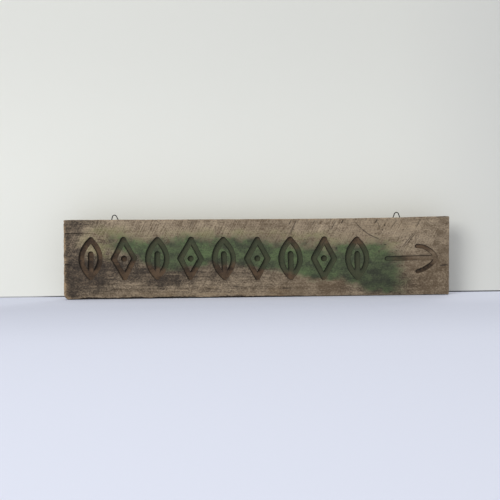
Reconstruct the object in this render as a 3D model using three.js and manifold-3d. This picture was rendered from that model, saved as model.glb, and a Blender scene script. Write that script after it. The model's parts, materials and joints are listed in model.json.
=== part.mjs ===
// A handmade shop sign: one old sawn plank, standing on its long edge, with a row of
// round-bottomed carved ornaments and a carved arrow that points to the right. Two folded
// steel straps are screwed to the back, and each one holds a triangular wire ring that
// swings on its fold, so that the sign can hang from two wall hooks.
// Units are millimetres. +X runs along the plank to the right, -Y is the carved front and
// +Z is up. The origin is on the ground, under the middle of the whole sign.

import * as THREE from 'three';
import { mergeVertices } from 'three/addons/utils/BufferGeometryUtils.js';
import Module from 'manifold-3d';

const wasm = await Module();
wasm.setup();

// Plank
const plankLength = 975;
const plankThickness = 28;
const heightAtLeft = 202;
const heightAtDip = 196.5;
const heightAtRight = 198.5;
const dipShare = 0.68;               // share of the length at which the top edge is lowest
const endLean = 2.5;                 // both ends are sawn a little off square
const arrisWear = 1.2;
const cornerWear = 3;
const bottomLeftWear = 12;

// Carving
const cutterRadius = 7.5;
const motifDepth = 7.5;
const arrowDepth = 4.2;
const motifCount = 9;
const motifHeight = 95;              // over the middle lines of the grooves
const leafWidth = 47;
const lozengeWidth = 52;
const motifPitch = 84;
const firstMotifInset = 70;          // from the left end to the middle of the first motif
const bandHeightAtLeft = 103;
const bandHeightAtRight = 95;
const dimpleRadius = 8;
const leanOfMotif = 2.2;             // degrees, the most that a motif leans
const leanShares = [0.6, -0.5, 0.3, 0.9, -0.8, 0.2, -0.4, 0.7, -0.3];
const veinTopShare = 0.62;           // share of the leaf's height that its vein reaches

// Arrow
const arrowEndGap = 36;              // from the arrow's tip to the right end of the plank
const arrowHeadDepth = 46;
const arrowHeadHeight = 64;
const arrowHeadBase = 60;            // height of the lower barb's end
const arrowShaftLength = 122;
const arrowShaftRise = 2;
const headPathShares = [
  [0, 1], [0.34, 0.97], [0.6, 0.87], [0.86, 0.72], [1, 0.56],
  [0.96, 0.45], [0.81, 0.3], [0.6, 0.19], [0.34, 0.08], [0.02, 0],
];
const shaftHeightShare = 0.55;       // where the shaft meets the head

// Drying cracks in the left end, and a chip out of the top edge at the right
const longCrack = { height: 166, length: 78, width: 1.6, depth: 9 };
const shortCrack = { height: 88, length: 24, width: 2.8, depth: 12 };
const chip = { inset: 21, halfLength: 14, drop: 3, depth: 7 };

// Hangers
const hangerInset = 130;             // from each end of the plank to the middle of its hanger
const leftRungDrop = 9.5;            // from the top edge down to each ring's rung
const rightRungDrop = 8.5;
const leftHangerLean = -4;           // degrees: this hanger was screwed on a little askew
const rightHangerLean = 0;
const seatGap = 0.3;                 // between pieces that are seated on each other

// Wire ring
const wireRadius = 1.2;
const ringWidth = 21;                // between the middle lines of the wire
const ringHeight = 21;
const ringApexRadius = 5.4;
const ringCornerRadius = 2.5;
const ringButtGap = 0.6;

// Folded strap
const strapSheet = 1;
const strapWidth = 11;
const strapDrop = 34;                // from the rung down to the strap's lower end
const foldClearance = 0.3;
const leafSeam = 0.2;
const screwDrops = [8, 28];          // from the rung down to each screw

// Round-head wood screw
const screwShankRadius = 1.5;
const screwLength = 16;
const screwTipLength = 5;
const screwHeadRadius = 3;
const screwHeadHeight = 2.4;
const slotWidth = 0.8;
const slotDepth = 1.1;
const holeClearance = 0.3;

// How finely the curved faces are divided
const grooveSides = 12;
const wireSides = 8;
const wireSteps = 64;
const holeSides = 12;
const screwSides = 18;
const curveSteps = 8;
const foldSteps = 8;
const domeSteps = 5;

const overrun = 1;                   // how far a cutter reaches past the face it cuts
const weldTolerance = 0.0001;

// Places worked out from the sizes above
const foldBore = wireRadius + foldClearance;
const axleBehindBack = seatGap + strapSheet + foldBore;
const strapFace = leafSeam + strapSheet - foldBore;      // outer leaf's face, from the rung
const foldReach = axleBehindBack + foldBore + strapSheet;
const headReach = axleBehindBack + strapFace + seatGap + screwHeadHeight;
const rearReach = Math.max(foldReach, headReach);
const frontY = -(plankThickness + rearReach) / 2;
const backY = frontY + plankThickness;
const leftX = -plankLength / 2;
const rightX = plankLength / 2;

const weatheredWood = new THREE.MeshStandardMaterial({ color: 0x84765f, roughness: 0.9, metalness: 0 });
const dullWire = new THREE.MeshStandardMaterial({ color: 0x5d5c59, roughness: 0.45, metalness: 1 });
const greyStrap = new THREE.MeshStandardMaterial({ color: 0x8c8d8a, roughness: 0.5, metalness: 1 });
const screwSteel = new THREE.MeshStandardMaterial({ color: 0x77736a, roughness: 0.5, metalness: 1 });

// A three.js geometry as a solid that can be joined and cut
function solidOf(geometry) {
  const bare = geometry.clone();
  bare.deleteAttribute('normal');
  bare.deleteAttribute('uv');
  const welded = mergeVertices(bare, weldTolerance);
  const corners = welded.index.array;
  const kept = [];
  for (let i = 0; i < corners.length; i += 3) {
    const [a, b, c] = [corners[i], corners[i + 1], corners[i + 2]];
    if (a !== b && b !== c && c !== a) kept.push(a, b, c);
  }
  return new wasm.Manifold(new wasm.Mesh({
    numProp: 3,
    vertProperties: welded.attributes.position.array,
    triVerts: new Uint32Array(kept),
  }));
}

function geometryOf(solid) {
  const mesh = solid.getMesh();
  const geometry = new THREE.BufferGeometry();
  geometry.setAttribute('position', new THREE.BufferAttribute(mesh.vertProperties, 3));
  geometry.setIndex(new THREE.BufferAttribute(mesh.triVerts, 1));
  geometry.computeVertexNormals();
  return geometry;
}

function circleShape(radius) {
  const shape = new THREE.Shape();
  shape.absarc(0, 0, radius, 0, 2 * Math.PI, false);
  return shape;
}

// The plank's top edge: one long shallow dip between its two ends
const topEdge = new THREE.SplineCurve([
  new THREE.Vector2(leftX + endLean, heightAtLeft),
  new THREE.Vector2(leftX + dipShare * plankLength, heightAtDip),
  new THREE.Vector2(rightX, heightAtRight),
]);

function topHeightAt(x) {
  const points = topEdge.getPoints(curveSteps);
  const next = Math.max(1, points.findIndex((point) => point.x >= x));
  const before = points[next - 1];
  const after = points[next];
  return THREE.MathUtils.mapLinear(x, before.x, after.x, before.y, after.y);
}

function plankBlank() {
  const shape = new THREE.Shape();
  shape.moveTo(leftX + bottomLeftWear, 0);
  shape.lineTo(rightX - endLean - cornerWear, 0);
  shape.quadraticCurveTo(rightX - endLean, 0, rightX - endLean, cornerWear);
  shape.lineTo(rightX, heightAtRight - cornerWear);
  shape.quadraticCurveTo(rightX, heightAtRight, rightX - cornerWear, heightAtRight);
  const along = topEdge.getPoints(curveSteps).slice(1, -1).reverse();
  along.forEach((point) => shape.lineTo(point.x, point.y));
  shape.lineTo(leftX + endLean + cornerWear, heightAtLeft);
  shape.quadraticCurveTo(leftX + endLean, heightAtLeft, leftX + endLean, heightAtLeft - cornerWear);
  shape.lineTo(leftX, bottomLeftWear);
  shape.quadraticCurveTo(leftX, 0, leftX + bottomLeftWear, 0);
  const geometry = new THREE.ExtrudeGeometry(shape, {
    depth: plankThickness - 2 * arrisWear,
    bevelEnabled: true,
    bevelThickness: arrisWear,
    bevelSize: arrisWear,
    bevelOffset: -arrisWear,
    bevelSegments: 1,
    curveSegments: 4,
  });
  geometry.rotateX(Math.PI / 2);
  geometry.translate(0, backY - arrisWear, 0);
  return solidOf(geometry);
}

// What a ball-ended cutter takes out as it follows a path, with its round ends
function groove(path, radius, depth, steps) {
  const centreY = frontY + depth - radius;
  const tube = new THREE.ExtrudeGeometry(circleShape(radius), {
    steps,
    curveSegments: grooveSides / 2,
    extrudePath: path,
    bevelEnabled: false,
  });
  tube.translate(0, centreY, 0);
  const ends = [path.getPoint(0), path.getPoint(1)].map((end) => {
    const ball = new THREE.SphereGeometry(radius, grooveSides, grooveSides / 2);
    ball.translate(end.x, centreY, end.z);
    return solidOf(ball);
  });
  return solidOf(tube).add(ends[0]).add(ends[1]);
}

// A point of a motif, in its own upright frame, put in its leaning place on the plank
function motifPoint(motif, across, up) {
  const lean = THREE.MathUtils.degToRad(motif.lean);
  const x = motif.x + across * Math.cos(lean) + up * Math.sin(lean);
  const z = motif.z + up * Math.cos(lean) - across * Math.sin(lean);
  return new THREE.Vector3(x, 0, z);
}

// A leaf: two bowed sides that meet at both tips, and a vein from the lower tip
function leafGrooves(motif) {
  const half = motifHeight / 2;
  const lowerTip = motifPoint(motif, 0, -half);
  const upperTip = motifPoint(motif, 0, half);
  const sides = [-leafWidth, leafWidth].map((bow) => {
    const path = new THREE.QuadraticBezierCurve3(lowerTip, motifPoint(motif, bow, 0), upperTip);
    return groove(path, cutterRadius, motifDepth, curveSteps);
  });
  const veinTop = motifPoint(motif, 0, veinTopShare * motifHeight - half);
  const vein = groove(new THREE.LineCurve3(lowerTip, veinTop), cutterRadius, motifDepth, 1);
  return [...sides, vein];
}

// A lozenge: four straight sides round a dimple
function lozengeGrooves(motif) {
  const half = motifHeight / 2;
  const corners = [
    motifPoint(motif, 0, half),
    motifPoint(motif, lozengeWidth / 2, 0),
    motifPoint(motif, 0, -half),
    motifPoint(motif, -lozengeWidth / 2, 0),
  ];
  const sides = corners.map((corner, i) => {
    const nextCorner = corners[(i + 1) % corners.length];
    return groove(new THREE.LineCurve3(corner, nextCorner), cutterRadius, motifDepth, 1);
  });
  const dimple = new THREE.SphereGeometry(dimpleRadius, grooveSides, grooveSides / 2);
  dimple.translate(motif.x, frontY + motifDepth - dimpleRadius, motif.z);
  return [...sides, solidOf(dimple)];
}

function motifPlace(i) {
  const along = i / (motifCount - 1);
  return {
    x: leftX + firstMotifInset + i * motifPitch,
    z: THREE.MathUtils.lerp(bandHeightAtLeft, bandHeightAtRight, along),
    lean: leanOfMotif * leanShares[i % leanShares.length],
  };
}

function arrowGrooves() {
  const tipX = rightX - arrowEndGap;
  const barbX = tipX - arrowHeadDepth;
  const head = new THREE.CatmullRomCurve3(headPathShares.map(([depthShare, heightShare]) => (
    new THREE.Vector3(
      barbX + depthShare * arrowHeadDepth,
      0,
      arrowHeadBase + heightShare * arrowHeadHeight,
    )
  )));
  const neckZ = arrowHeadBase + shaftHeightShare * arrowHeadHeight;
  const shaft = new THREE.LineCurve3(
    new THREE.Vector3(tipX - arrowShaftLength, 0, neckZ - arrowShaftRise),
    new THREE.Vector3(tipX, 0, neckZ),
  );
  return [
    groove(head, cutterRadius, arrowDepth, 2 * curveSteps),
    groove(shaft, cutterRadius, arrowDepth, 1),
  ];
}

// A drying crack: a thin wedge that narrows along the grain from the left end
function crackCutter(crack) {
  const shape = new THREE.Shape();
  shape.moveTo(leftX - overrun, crack.height - crack.width / 2);
  shape.lineTo(leftX + crack.length, crack.height);
  shape.lineTo(leftX - overrun, crack.height + crack.width / 2);
  shape.closePath();
  const geometry = new THREE.ExtrudeGeometry(shape, { depth: crack.depth + overrun, bevelEnabled: false });
  geometry.rotateX(Math.PI / 2);
  geometry.translate(0, frontY + crack.depth, 0);
  return solidOf(geometry);
}

// A shallow scoop out of the front of the top edge
function chipCutter() {
  const scoop = new THREE.SphereGeometry(1, grooveSides, grooveSides);
  scoop.scale(chip.halfLength, chip.depth, chip.drop);
  const x = rightX - chip.inset;
  scoop.translate(x, frontY, topHeightAt(x));
  return solidOf(scoop);
}

// Where a hanger sits: its rung is just under the top edge, behind the plank
function hangerMatrix(x, rungDrop, lean) {
  const place = new THREE.Vector3(x, backY + axleBehindBack, topHeightAt(x) - rungDrop);
  const turn = new THREE.Quaternion().setFromAxisAngle(
    new THREE.Vector3(0, 1, 0),
    THREE.MathUtils.degToRad(lean),
  );
  return new THREE.Matrix4().compose(place, turn, new THREE.Vector3(1, 1, 1));
}

// The ring is three arcs joined by straight runs, seen in its own flat frame
const ringCornerX = ringWidth / 2 - ringCornerRadius;
const ringApexZ = ringHeight - ringApexRadius;
const ringLegNormal = Math.atan2(ringApexZ - ringCornerRadius, -ringCornerX)
  - Math.acos((ringCornerRadius - ringApexRadius) / Math.hypot(ringCornerX, ringApexZ - ringCornerRadius));

// How far a leg's middle line is from the ring's middle, at a height over the rung
function ringLegX(height) {
  const across = ringApexRadius + (ringApexZ - height) * Math.sin(ringLegNormal);
  return across / Math.cos(ringLegNormal);
}

// A loose ring falls forward until its wire rests on the back of the plank's top edge. On a
// hanger that leans, the leg on the side where the edge stands higher gets there first.
function ringRestLean(rungDrop, lean) {
  const tilt = Math.abs(THREE.MathUtils.degToRad(lean));
  const edgeHeight = rungDrop - arrisWear + ringLegX(rungDrop) * Math.tan(tilt);
  const reach = Math.hypot(axleBehindBack, edgeHeight);
  return Math.atan2(axleBehindBack, edgeHeight) - Math.asin((wireRadius + seatGap) / reach);
}

const hangers = [
  {
    side: 'left',
    matrix: hangerMatrix(leftX + hangerInset, leftRungDrop, leftHangerLean),
    ringLean: ringRestLean(leftRungDrop, leftHangerLean),
  },
  {
    side: 'right',
    matrix: hangerMatrix(rightX - hangerInset, rightRungDrop, rightHangerLean),
    ringLean: ringRestLean(rightRungDrop, rightHangerLean),
  },
];

function pilotHole(hanger, drop) {
  const depth = screwLength - strapFace - axleBehindBack + holeClearance;
  const hole = new THREE.CylinderGeometry(
    screwShankRadius + holeClearance,
    screwShankRadius + holeClearance,
    depth + overrun,
    holeSides,
  );
  hole.translate(0, -axleBehindBack + (overrun - depth) / 2, -drop);
  hole.applyMatrix4(hanger.matrix);
  return solidOf(hole);
}

function plankGeometry() {
  const cutters = [...arrowGrooves(), crackCutter(longCrack), crackCutter(shortCrack), chipCutter()];
  for (let i = 0; i < motifCount; i += 1) {
    const motif = motifPlace(i);
    cutters.push(...(i % 2 === 0 ? leafGrooves(motif) : lozengeGrooves(motif)));
  }
  hangers.forEach((hanger) => {
    screwDrops.forEach((drop) => cutters.push(pilotHole(hanger, drop)));
  });
  return geometryOf(cutters.reduce((plank, cutter) => plank.subtract(cutter), plankBlank()));
}

// The ring's middle line, from one wire end at the middle of the rung round to the other
class RingLine extends THREE.Curve {
  constructor() {
    super();
    const legLeft = Math.PI - ringLegNormal;
    this.outline = new THREE.Path();
    this.outline.moveTo(ringButtGap / 2, 0);
    this.outline.lineTo(ringCornerX, 0);
    this.outline.absarc(ringCornerX, ringCornerRadius, ringCornerRadius, -Math.PI / 2, ringLegNormal, false);
    this.outline.absarc(0, ringApexZ, ringApexRadius, ringLegNormal, legLeft, false);
    this.outline.absarc(-ringCornerX, ringCornerRadius, ringCornerRadius, legLeft, 1.5 * Math.PI, false);
    this.outline.lineTo(-ringButtGap / 2, 0);
  }

  getPoint(t, target = new THREE.Vector3()) {
    const point = this.outline.getPoint(t);
    return target.set(point.x, 0, point.y);
  }
}

function ringGeometry() {
  return new THREE.ExtrudeGeometry(circleShape(wireRadius), {
    steps: wireSteps,
    curveSegments: wireSides / 2,
    extrudePath: new RingLine(),
    bevelEnabled: false,
  });
}

// The strap's edge seen from the side: the back leaf goes up, round the rung and down again
function strapProfile() {
  const seamY = leafSeam - foldBore;
  const outerRadius = foldBore + strapSheet;
  const boreEnd = -Math.PI + Math.acos(-seamY / foldBore);
  const foldEnd = -Math.acos(strapFace / outerRadius);
  const shape = new THREE.Shape();
  shape.moveTo(-outerRadius, -strapDrop);
  shape.lineTo(-foldBore, -strapDrop);
  shape.lineTo(-foldBore, 0);
  shape.absarc(0, 0, foldBore, Math.PI, boreEnd, true);
  shape.lineTo(seamY, -strapDrop);
  shape.lineTo(strapFace, -strapDrop);
  shape.absarc(0, 0, outerRadius, foldEnd, Math.PI, false);
  shape.closePath();
  return shape;
}

function strapGeometry() {
  const outerRadius = foldBore + strapSheet;
  const folded = new THREE.ExtrudeGeometry(strapProfile(), {
    depth: strapWidth,
    curveSegments: foldSteps,
    bevelEnabled: false,
  });
  folded.rotateX(Math.PI / 2);
  folded.rotateZ(Math.PI / 2);
  folded.translate(-strapWidth / 2, 0, 0);

  const half = strapWidth / 2;
  const outline = new THREE.Shape();
  outline.moveTo(half, outerRadius + overrun);
  outline.lineTo(-half, outerRadius + overrun);
  outline.lineTo(-half, half - strapDrop);
  outline.absarc(0, half - strapDrop, half, Math.PI, 2 * Math.PI, false);
  outline.closePath();
  screwDrops.forEach((drop) => {
    const hole = new THREE.Path();
    hole.absarc(0, -drop, screwShankRadius + holeClearance, 0, 2 * Math.PI, true);
    outline.holes.push(hole);
  });
  const blank = new THREE.ExtrudeGeometry(outline, {
    depth: 2 * (outerRadius + overrun),
    curveSegments: holeSides / 2,
    bevelEnabled: false,
  });
  blank.rotateX(Math.PI / 2);
  blank.translate(0, outerRadius + overrun, 0);
  return geometryOf(solidOf(folded).intersect(solidOf(blank)));
}

// A screw about its own axis: the head's underside at zero, the point towards -Y
function screwGeometry() {
  const domeRadius = (screwHeadRadius ** 2 + screwHeadHeight ** 2) / (2 * screwHeadHeight);
  const domeMiddle = screwHeadHeight - domeRadius;
  const domeAngle = Math.asin(Math.min(1, screwHeadRadius / domeRadius));
  const profile = [
    new THREE.Vector2(0, -screwLength),
    new THREE.Vector2(screwShankRadius, screwTipLength - screwLength),
    new THREE.Vector2(screwShankRadius, 0),
  ];
  for (let i = 0; i < domeSteps; i += 1) {
    const angle = domeAngle * (1 - i / domeSteps);
    profile.push(new THREE.Vector2(domeRadius * Math.sin(angle), domeMiddle + domeRadius * Math.cos(angle)));
  }
  profile.push(new THREE.Vector2(0, screwHeadHeight));
  const turned = new THREE.LatheGeometry(profile, screwSides);
  const slot = new THREE.BoxGeometry(2 * (screwHeadRadius + overrun), slotDepth + overrun, slotWidth);
  slot.translate(0, screwHeadHeight + (overrun - slotDepth) / 2, 0);
  return geometryOf(solidOf(turned).subtract(solidOf(slot)));
}

function named(name, geometry, material) {
  const mesh = new THREE.Mesh(geometry, material);
  mesh.name = name;
  return mesh;
}

const sign = new THREE.Group();
sign.add(named('plank', plankGeometry(), weatheredWood));

const slotTurns = [25, -50, 10, 70];   // degrees: how far each screw's slot is turned
hangers.forEach((hanger, which) => {
  const group = new THREE.Group();
  group.applyMatrix4(hanger.matrix);
  group.add(named(`${hanger.side}_hanger_strap`, strapGeometry(), greyStrap));
  const ring = named(`${hanger.side}_wire_ring`, ringGeometry(), dullWire);
  ring.rotation.x = hanger.ringLean;
  group.add(ring);
  screwDrops.forEach((drop, i) => {
    const place = i === 0 ? 'upper' : 'lower';
    const screw = named(`${hanger.side}_${place}_screw`, screwGeometry(), screwSteel);
    screw.position.set(0, strapFace + seatGap, -drop);
    screw.rotation.y = THREE.MathUtils.degToRad(slotTurns[which * screwDrops.length + i]);
    group.add(screw);
  });
  sign.add(group);
});

export default sign;
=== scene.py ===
"""An old carved plank sign with two hanging rings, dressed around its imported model."""

import json
import math

import bmesh
import bpy
import numpy as np
from bpy.props import FloatProperty, FloatVectorProperty, IntProperty, PointerProperty
from mathutils import Matrix, Vector


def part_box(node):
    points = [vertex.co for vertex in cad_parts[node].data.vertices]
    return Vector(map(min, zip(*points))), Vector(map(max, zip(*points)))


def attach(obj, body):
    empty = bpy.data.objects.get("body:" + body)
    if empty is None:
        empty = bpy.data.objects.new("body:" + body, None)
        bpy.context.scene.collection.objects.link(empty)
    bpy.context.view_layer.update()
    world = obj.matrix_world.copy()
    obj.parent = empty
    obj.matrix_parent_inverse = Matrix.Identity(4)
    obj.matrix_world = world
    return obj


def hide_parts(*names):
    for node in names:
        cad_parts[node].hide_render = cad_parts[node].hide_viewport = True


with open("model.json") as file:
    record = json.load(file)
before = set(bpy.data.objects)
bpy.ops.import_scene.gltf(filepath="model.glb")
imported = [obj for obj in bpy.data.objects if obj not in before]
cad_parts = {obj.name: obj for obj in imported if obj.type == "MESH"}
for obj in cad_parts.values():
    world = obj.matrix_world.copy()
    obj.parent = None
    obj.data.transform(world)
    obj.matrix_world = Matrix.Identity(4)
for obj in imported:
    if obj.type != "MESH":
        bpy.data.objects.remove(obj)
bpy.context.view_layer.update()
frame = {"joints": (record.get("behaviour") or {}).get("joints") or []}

bl_info = {
    "name": "Carved Plank Sign",
    "version": (1, 0, 0),
    "blender": (4, 5, 0),
    "location": "View3D > Sidebar > Sign",
    "description": "Builds an old carved plank sign, its hanging rings and a plain studio",
    "category": "Object",
}

MM = 0.001

# The plank's own places, read from the frame
PLANK_LOW, PLANK_HIGH = (np.array(corner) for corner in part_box("plank"))
LEFT, FRONT = PLANK_LOW[0], PLANK_LOW[1]
RIGHT, BACK = PLANK_HIGH[0], PLANK_HIGH[1]
LENGTH = RIGHT - LEFT
HEIGHT = PLANK_HIGH[2]

# The plank's outline, in millimetres
HEIGHT_AT_LEFT = 202.0
HEIGHT_AT_DIP = 196.5
HEIGHT_AT_RIGHT = 198.5
DIP_SHARE = 0.68
END_LEAN = 2.5
BOTTOM_LEFT_WEAR = 15.0
CORNER_WEAR = 3.0

# The carving, in millimetres and degrees: its places and sizes as the CAD model has them, and
# the widths of single grooves as the hand left them
MOTIF_COUNT = 9
MOTIF_HEIGHT = 95.0
LEAF_WIDTH = 47.0
LOZENGE_WIDTH = 52.0
MOTIF_PITCH = 84.0
FIRST_MOTIF_INSET = 70.0
BAND_AT_LEFT = 103.0
BAND_AT_RIGHT = 95.0
DIMPLE_WIDTH = 16.0
DIMPLE_RUN = 0.2
MOTIF_LEAN = 2.2
LEAN_SHARES = (0.6, -0.5, 0.3, 0.9, -0.8, 0.2, -0.4, 0.7, -0.3)
VEIN_TOP_SHARE = 0.62
# The grooves of a leaf and of a lozenge aren't quite alike in width
LEAF_SHARES = (1.04, 0.96, 1.0)
LOZENGE_SHARES = (0.95, 1.03, 0.98, 1.06)

ARROW_END_GAP = 36.0
ARROW_HEAD_DEPTH = 46.0
ARROW_HEAD_HEIGHT = 64.0
ARROW_HEAD_BASE = 60.0
ARROW_SHAFT_LENGTH = 122.0
ARROW_SHAFT_RISE = 2.0
ARROW_WIDTH = 13.4
HEAD_WIDTH_SHARE = 0.9
HEAD_PATH_SHARES = (
    (0, 1), (0.34, 0.97), (0.6, 0.87), (0.86, 0.72), (1, 0.56),
    (0.96, 0.45), (0.81, 0.3), (0.6, 0.19), (0.34, 0.08), (0.02, 0),
)
SHAFT_HEIGHT_SHARE = 0.55
# The cutter has bitten deeper into the lower barb, and has chattered there
LOWER_BARB_DEPTH_SHARE = 1.1
CHATTER_HEIGHT = 0.7

# How finely the paths are drawn: millimetres between points, points on a bow, and steps
# between two of the places that the top edge and the arrow's head pass through
PATH_STEP = 1.5
BOW_POINTS = 80
TOP_STEPS, HEAD_STEPS = 24, 12

# Drying cracks: height, length, width at the end and depth, in millimetres
CRACKS = ((166.0, 78.0, 1.6, 9.0), (88.0, 24.0, 2.8, 12.0))
# Lattice rows lie this far past a crack's sides too, and the top edge over it is this high
CRACK_MARGIN = 0.5
TOP_OVER_CRACKS = 200.8

# The chip out of the top edge: inset from the right end, half length, drop and depth
CHIP = (21.0, 14.0, 3.0, 7.0)

# Saw scratches on the front, in millimetres from the plank's lower left corner:
# from x, z to x, z, then width and depth
SCRATCHES = (
    (738, 185, 757, 166, 1.5, 0.6), (750, 172, 774, 153, 1.6, 0.8),
    (765, 159, 785, 148, 1.7, 0.9), (777, 152, 798, 143, 1.6, 0.8),
    (320, 177, 329, 196, 1.6, 0.5), (325, 176, 335, 199, 1.4, 0.4),
    (573, 158, 590, 194, 1.9, 0.7), (570, 181, 577, 193, 1.8, 0.7),
    (629, 181, 636, 192, 1.8, 0.5), (676, 167, 689, 191, 1.8, 0.6),
    (703, 185, 708, 192, 2.2, 0.9), (652, 125, 668, 152, 1.5, 0.5),
    (787, 183, 794, 193, 2.2, 0.8), (794, 187, 800, 166, 1.5, 0.5),
    (827, 170, 844, 191, 1.5, 0.5), (890, 169, 902, 192, 1.8, 0.5),
    (853, 119, 888, 161, 1.5, 0.6), (858, 118, 892, 160, 1.3, 0.5),
    (862, 124, 884, 149, 1.2, 0.4), (80, 171, 89, 192, 1.5, 0.26), (95, 168, 112, 196, 1.3, 0.2),
    (123, 174, 133, 195, 1.5, 0.22), (150, 170, 162, 196, 1.5, 0.24),
    (172, 168, 185, 197, 1.3, 0.2), (198, 170, 209, 194, 1.5, 0.22),
    (228, 168, 240, 193, 1.3, 0.2), (951, 74, 969, 76, 2.6, 0.9),
)

# Small knocks and worm holes: x, z, half length, half height and depth
DENTS = (
    (813, 129, 3.4, 1.2, 1.6), (797, 112, 1.2, 3.2, 1.6), (87, 34, 1.8, 1.6, 2.4),
    (842, 132, 2.2, 1.0, 0.7), (690, 121, 3.0, 3.6, 0.8), (735, 85, 2.4, 1.4, 0.7),
    (70, 95, 4.0, 2.6, 1.0), (44, 98, 4.4, 2.0, 1.2), (28, 80, 3.2, 2.4, 1.4),
    (20, 96, 4.0, 1.5, 1.2), (812, 178, 2.0, 3.2, 0.8), (806, 166, 1.6, 2.6, 0.8),
    (437, 28, 10.0, 1.4, 0.7), (392, 22, 8.0, 1.2, 0.6), (250, 31, 2.2, 1.4, 1.0),
    (560, 22, 14.0, 1.6, 0.6),
)

# The lower front edge is worn off the ground. In millimetres: the gap's height and its least
# height, how far up the face the lift fades, where it starts and where it gets low, from the
# left end, and its run-out at the right end. Its low right part has a share of the height.
GAP_HEIGHT = 4.6
LEAST_GAP = 0.35
GAP_FADE = 11.0
GAP_STARTS = (8.0, 60.0)
GAP_FALLS = (460.0, 700.0)
GAP_ENDS = 12.0
RIGHT_GAP_SHARE = 0.22

# How far the raggedness of the ends and of the top edge reaches into the face
END_FADE = 4.0
TOP_FADE = 5.0

# The saw's ridges: their slant, and half their height in millimetres
SAW_SLANT = math.radians(28)
RIDGE_HEIGHT = 0.13

# How far round a scratch's path it is worked out, in millimetres
SCRATCH_BOX = 4.0
# A place within this of the border, in millimetres, lies on it
ON_BORDER = 0.1
# The field called back goes from 0 on the front to 1 on the back
IN_FRONT, BEHIND = 0.25, 0.75
# The rim distance, in millimetres, of points that no groove is near
NOWHERE_NEAR = 99.0

# The sprayed green band: its top and bottom edge at places along the plank
SPRAY_TOP = (
    (70, 178), (143, 169), (200, 160), (260, 160), (345, 164), (472, 161),
    (535, 161), (585, 148), (700, 142), (770, 141), (815, 134), (900, 122),
)
SPRAY_BOTTOM = (
    (70, 120), (150, 102), (196, 87), (224, 74), (284, 64), (343, 68), (520, 58),
    (580, 46), (640, 27), (700, 34), (760, 2), (818, -8), (900, -14),
)
# How softly it fades at its top and bottom edges, from outside them to inside
SPRAY_TOP_FADE, SPRAY_BOTTOM_FADE = (-20, 42), (-6, 32)
# Where it starts and ends along the plank, and how far its end slants about its middle height
SPRAY_STARTS, SPRAY_ENDS = (72, 165), (796, 902)
SPRAY_MIDDLE, SPRAY_SLANT = 84, 0.15
# Its fringe: where that starts and ends, how far it rises past the top edge, and its fades
FRINGE_STARTS, FRINGE_ENDS = (50, 90), (840, 900)
FRINGE_RISE, FRINGE_FADE_IN, FRINGE_FADE_OUT = 10, (-18, 10), (2, 30)
# Ochre streaks low down, and yellower wood high at the right: where each starts and ends
# along the plank, and the heights between which it fades
OCHRE_STARTS, OCHRE_ENDS, OCHRE_HEIGHT = (120, 260), (520, 640), (8, 30)
PALE_STARTS, PALE_ENDS, PALE_HEIGHT = (640, 760), (880, 960), (125, 160)

# Soft oval patches on the face: middle x, z, half length, half height, strength
PATCHES = {
    # Damp and soot have darkened the face
    "grime": (
        (58, 60, 84, 52, 1.0), (24, 26, 24, 26, 0.8), (112, 84, 66, 36, 0.8),
        (266, 58, 92, 35, 0.85), (176, 78, 70, 36, 0.8), (410, 68, 150, 28, 0.5),
        (392, 84, 24, 16, 0.4), (460, 84, 26, 14, 0.4), (104, 132, 30, 20, 0.4),
        (290, 36, 320, 46, 0.34), (20, 110, 38, 110, 0.8), (24, 190, 90, 26, 0.5),
        (800, 34, 110, 52, 0.55),
    ),
    # The face is smoothly darker
    "browned": (
        (930, 42, 90, 72, 0.74), (552, 8, 44, 26, 0.95), (682, 24, 40, 32, 0.72),
        (632, 36, 60, 22, 0.4), (968, 48, 18, 46, 0.5), (962, 130, 36, 80, 0.4),
        (620, 26, 560, 46, 0.26), (160, 6, 200, 16, 0.4), (430, 196, 250, 16, 0.22),
        (520, 176, 60, 34, 0.22), (700, 200, 90, 12, 0.1),
    ),
    # Thin yellow-green overspray beside the band
    "overspray": (
        (120, 160, 66, 30, 0.9), (84, 138, 44, 34, 0.7), (112, 122, 34, 20, 0.7),
        (427, 141, 28, 16, 0.6), (820, 131, 30, 16, 0.7),
    ),
    # The spray lies thick and dark
    "thick spray": (
        (294, 104, 22, 30, 0.9), (330, 120, 16, 22, 0.4), (330, 76, 44, 12, 0.6),
        (470, 92, 26, 18, 0.5), (640, 92, 30, 34, 0.5), (716, 76, 34, 26, 0.6),
        (800, 60, 46, 40, 0.5),
    ),
    # The arrow's lower barb is darker
    "darker barb": ((905, 71, 36, 19, 0.85),),
    # The arrow's paint has worn thin
    "faded groove": ((935, 97, 70, 18, 0.72),),
}

# A patch fades between these shares of its half lengths
BLOB_FADE = (0.35, 1.3)
# The left end is frayed more low down, and its lower corner is worn: where both fade
LOW_DOWN = (14, 70)
CORNER_FADE = (8, 22)
# A mark this deep, in millimetres, is darkened as much as any
SCRAPED_DEPTH = 0.45

# How the soft edges of the finishes wander up and along the face: each wave's noise, its
# height and its lengths along and up, in millimetres, and where in the noise it starts
WANDER_UP = (("blot", 10, (42, 30), (0, 0)), ("fleck", 4, (9, 7), (0, 0)))
WANDER_ALONG = (("cloud", 12, (50, 34), (9, 0)), ("fleck", 3, (8, 6), (0, 30)))
# Lengths of the smallest flecks, in millimetres
FLECK_RUNS = (5, 5)

# Paint, and the painted shade along the steep edges, come up in a groove this far inside its rim,
# in millimetres
PAINT_COMES_UP, SHADE_COMES_UP = (0.1, 0.9), (0.0, 0.35)
# The painted shade's width in millimetres and its strength, then what each gains on the upper left
# sides, which are turned from the light. It fades between two shares of its width.
SHADE_WIDTH, SHADE_STRENGTH = 1.0, 0.62
WIDER_SHADE, DARKER_SHADE = 1.5, 0.38
SHADE_FADE_SHARES = (0.45, 1.7)

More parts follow.
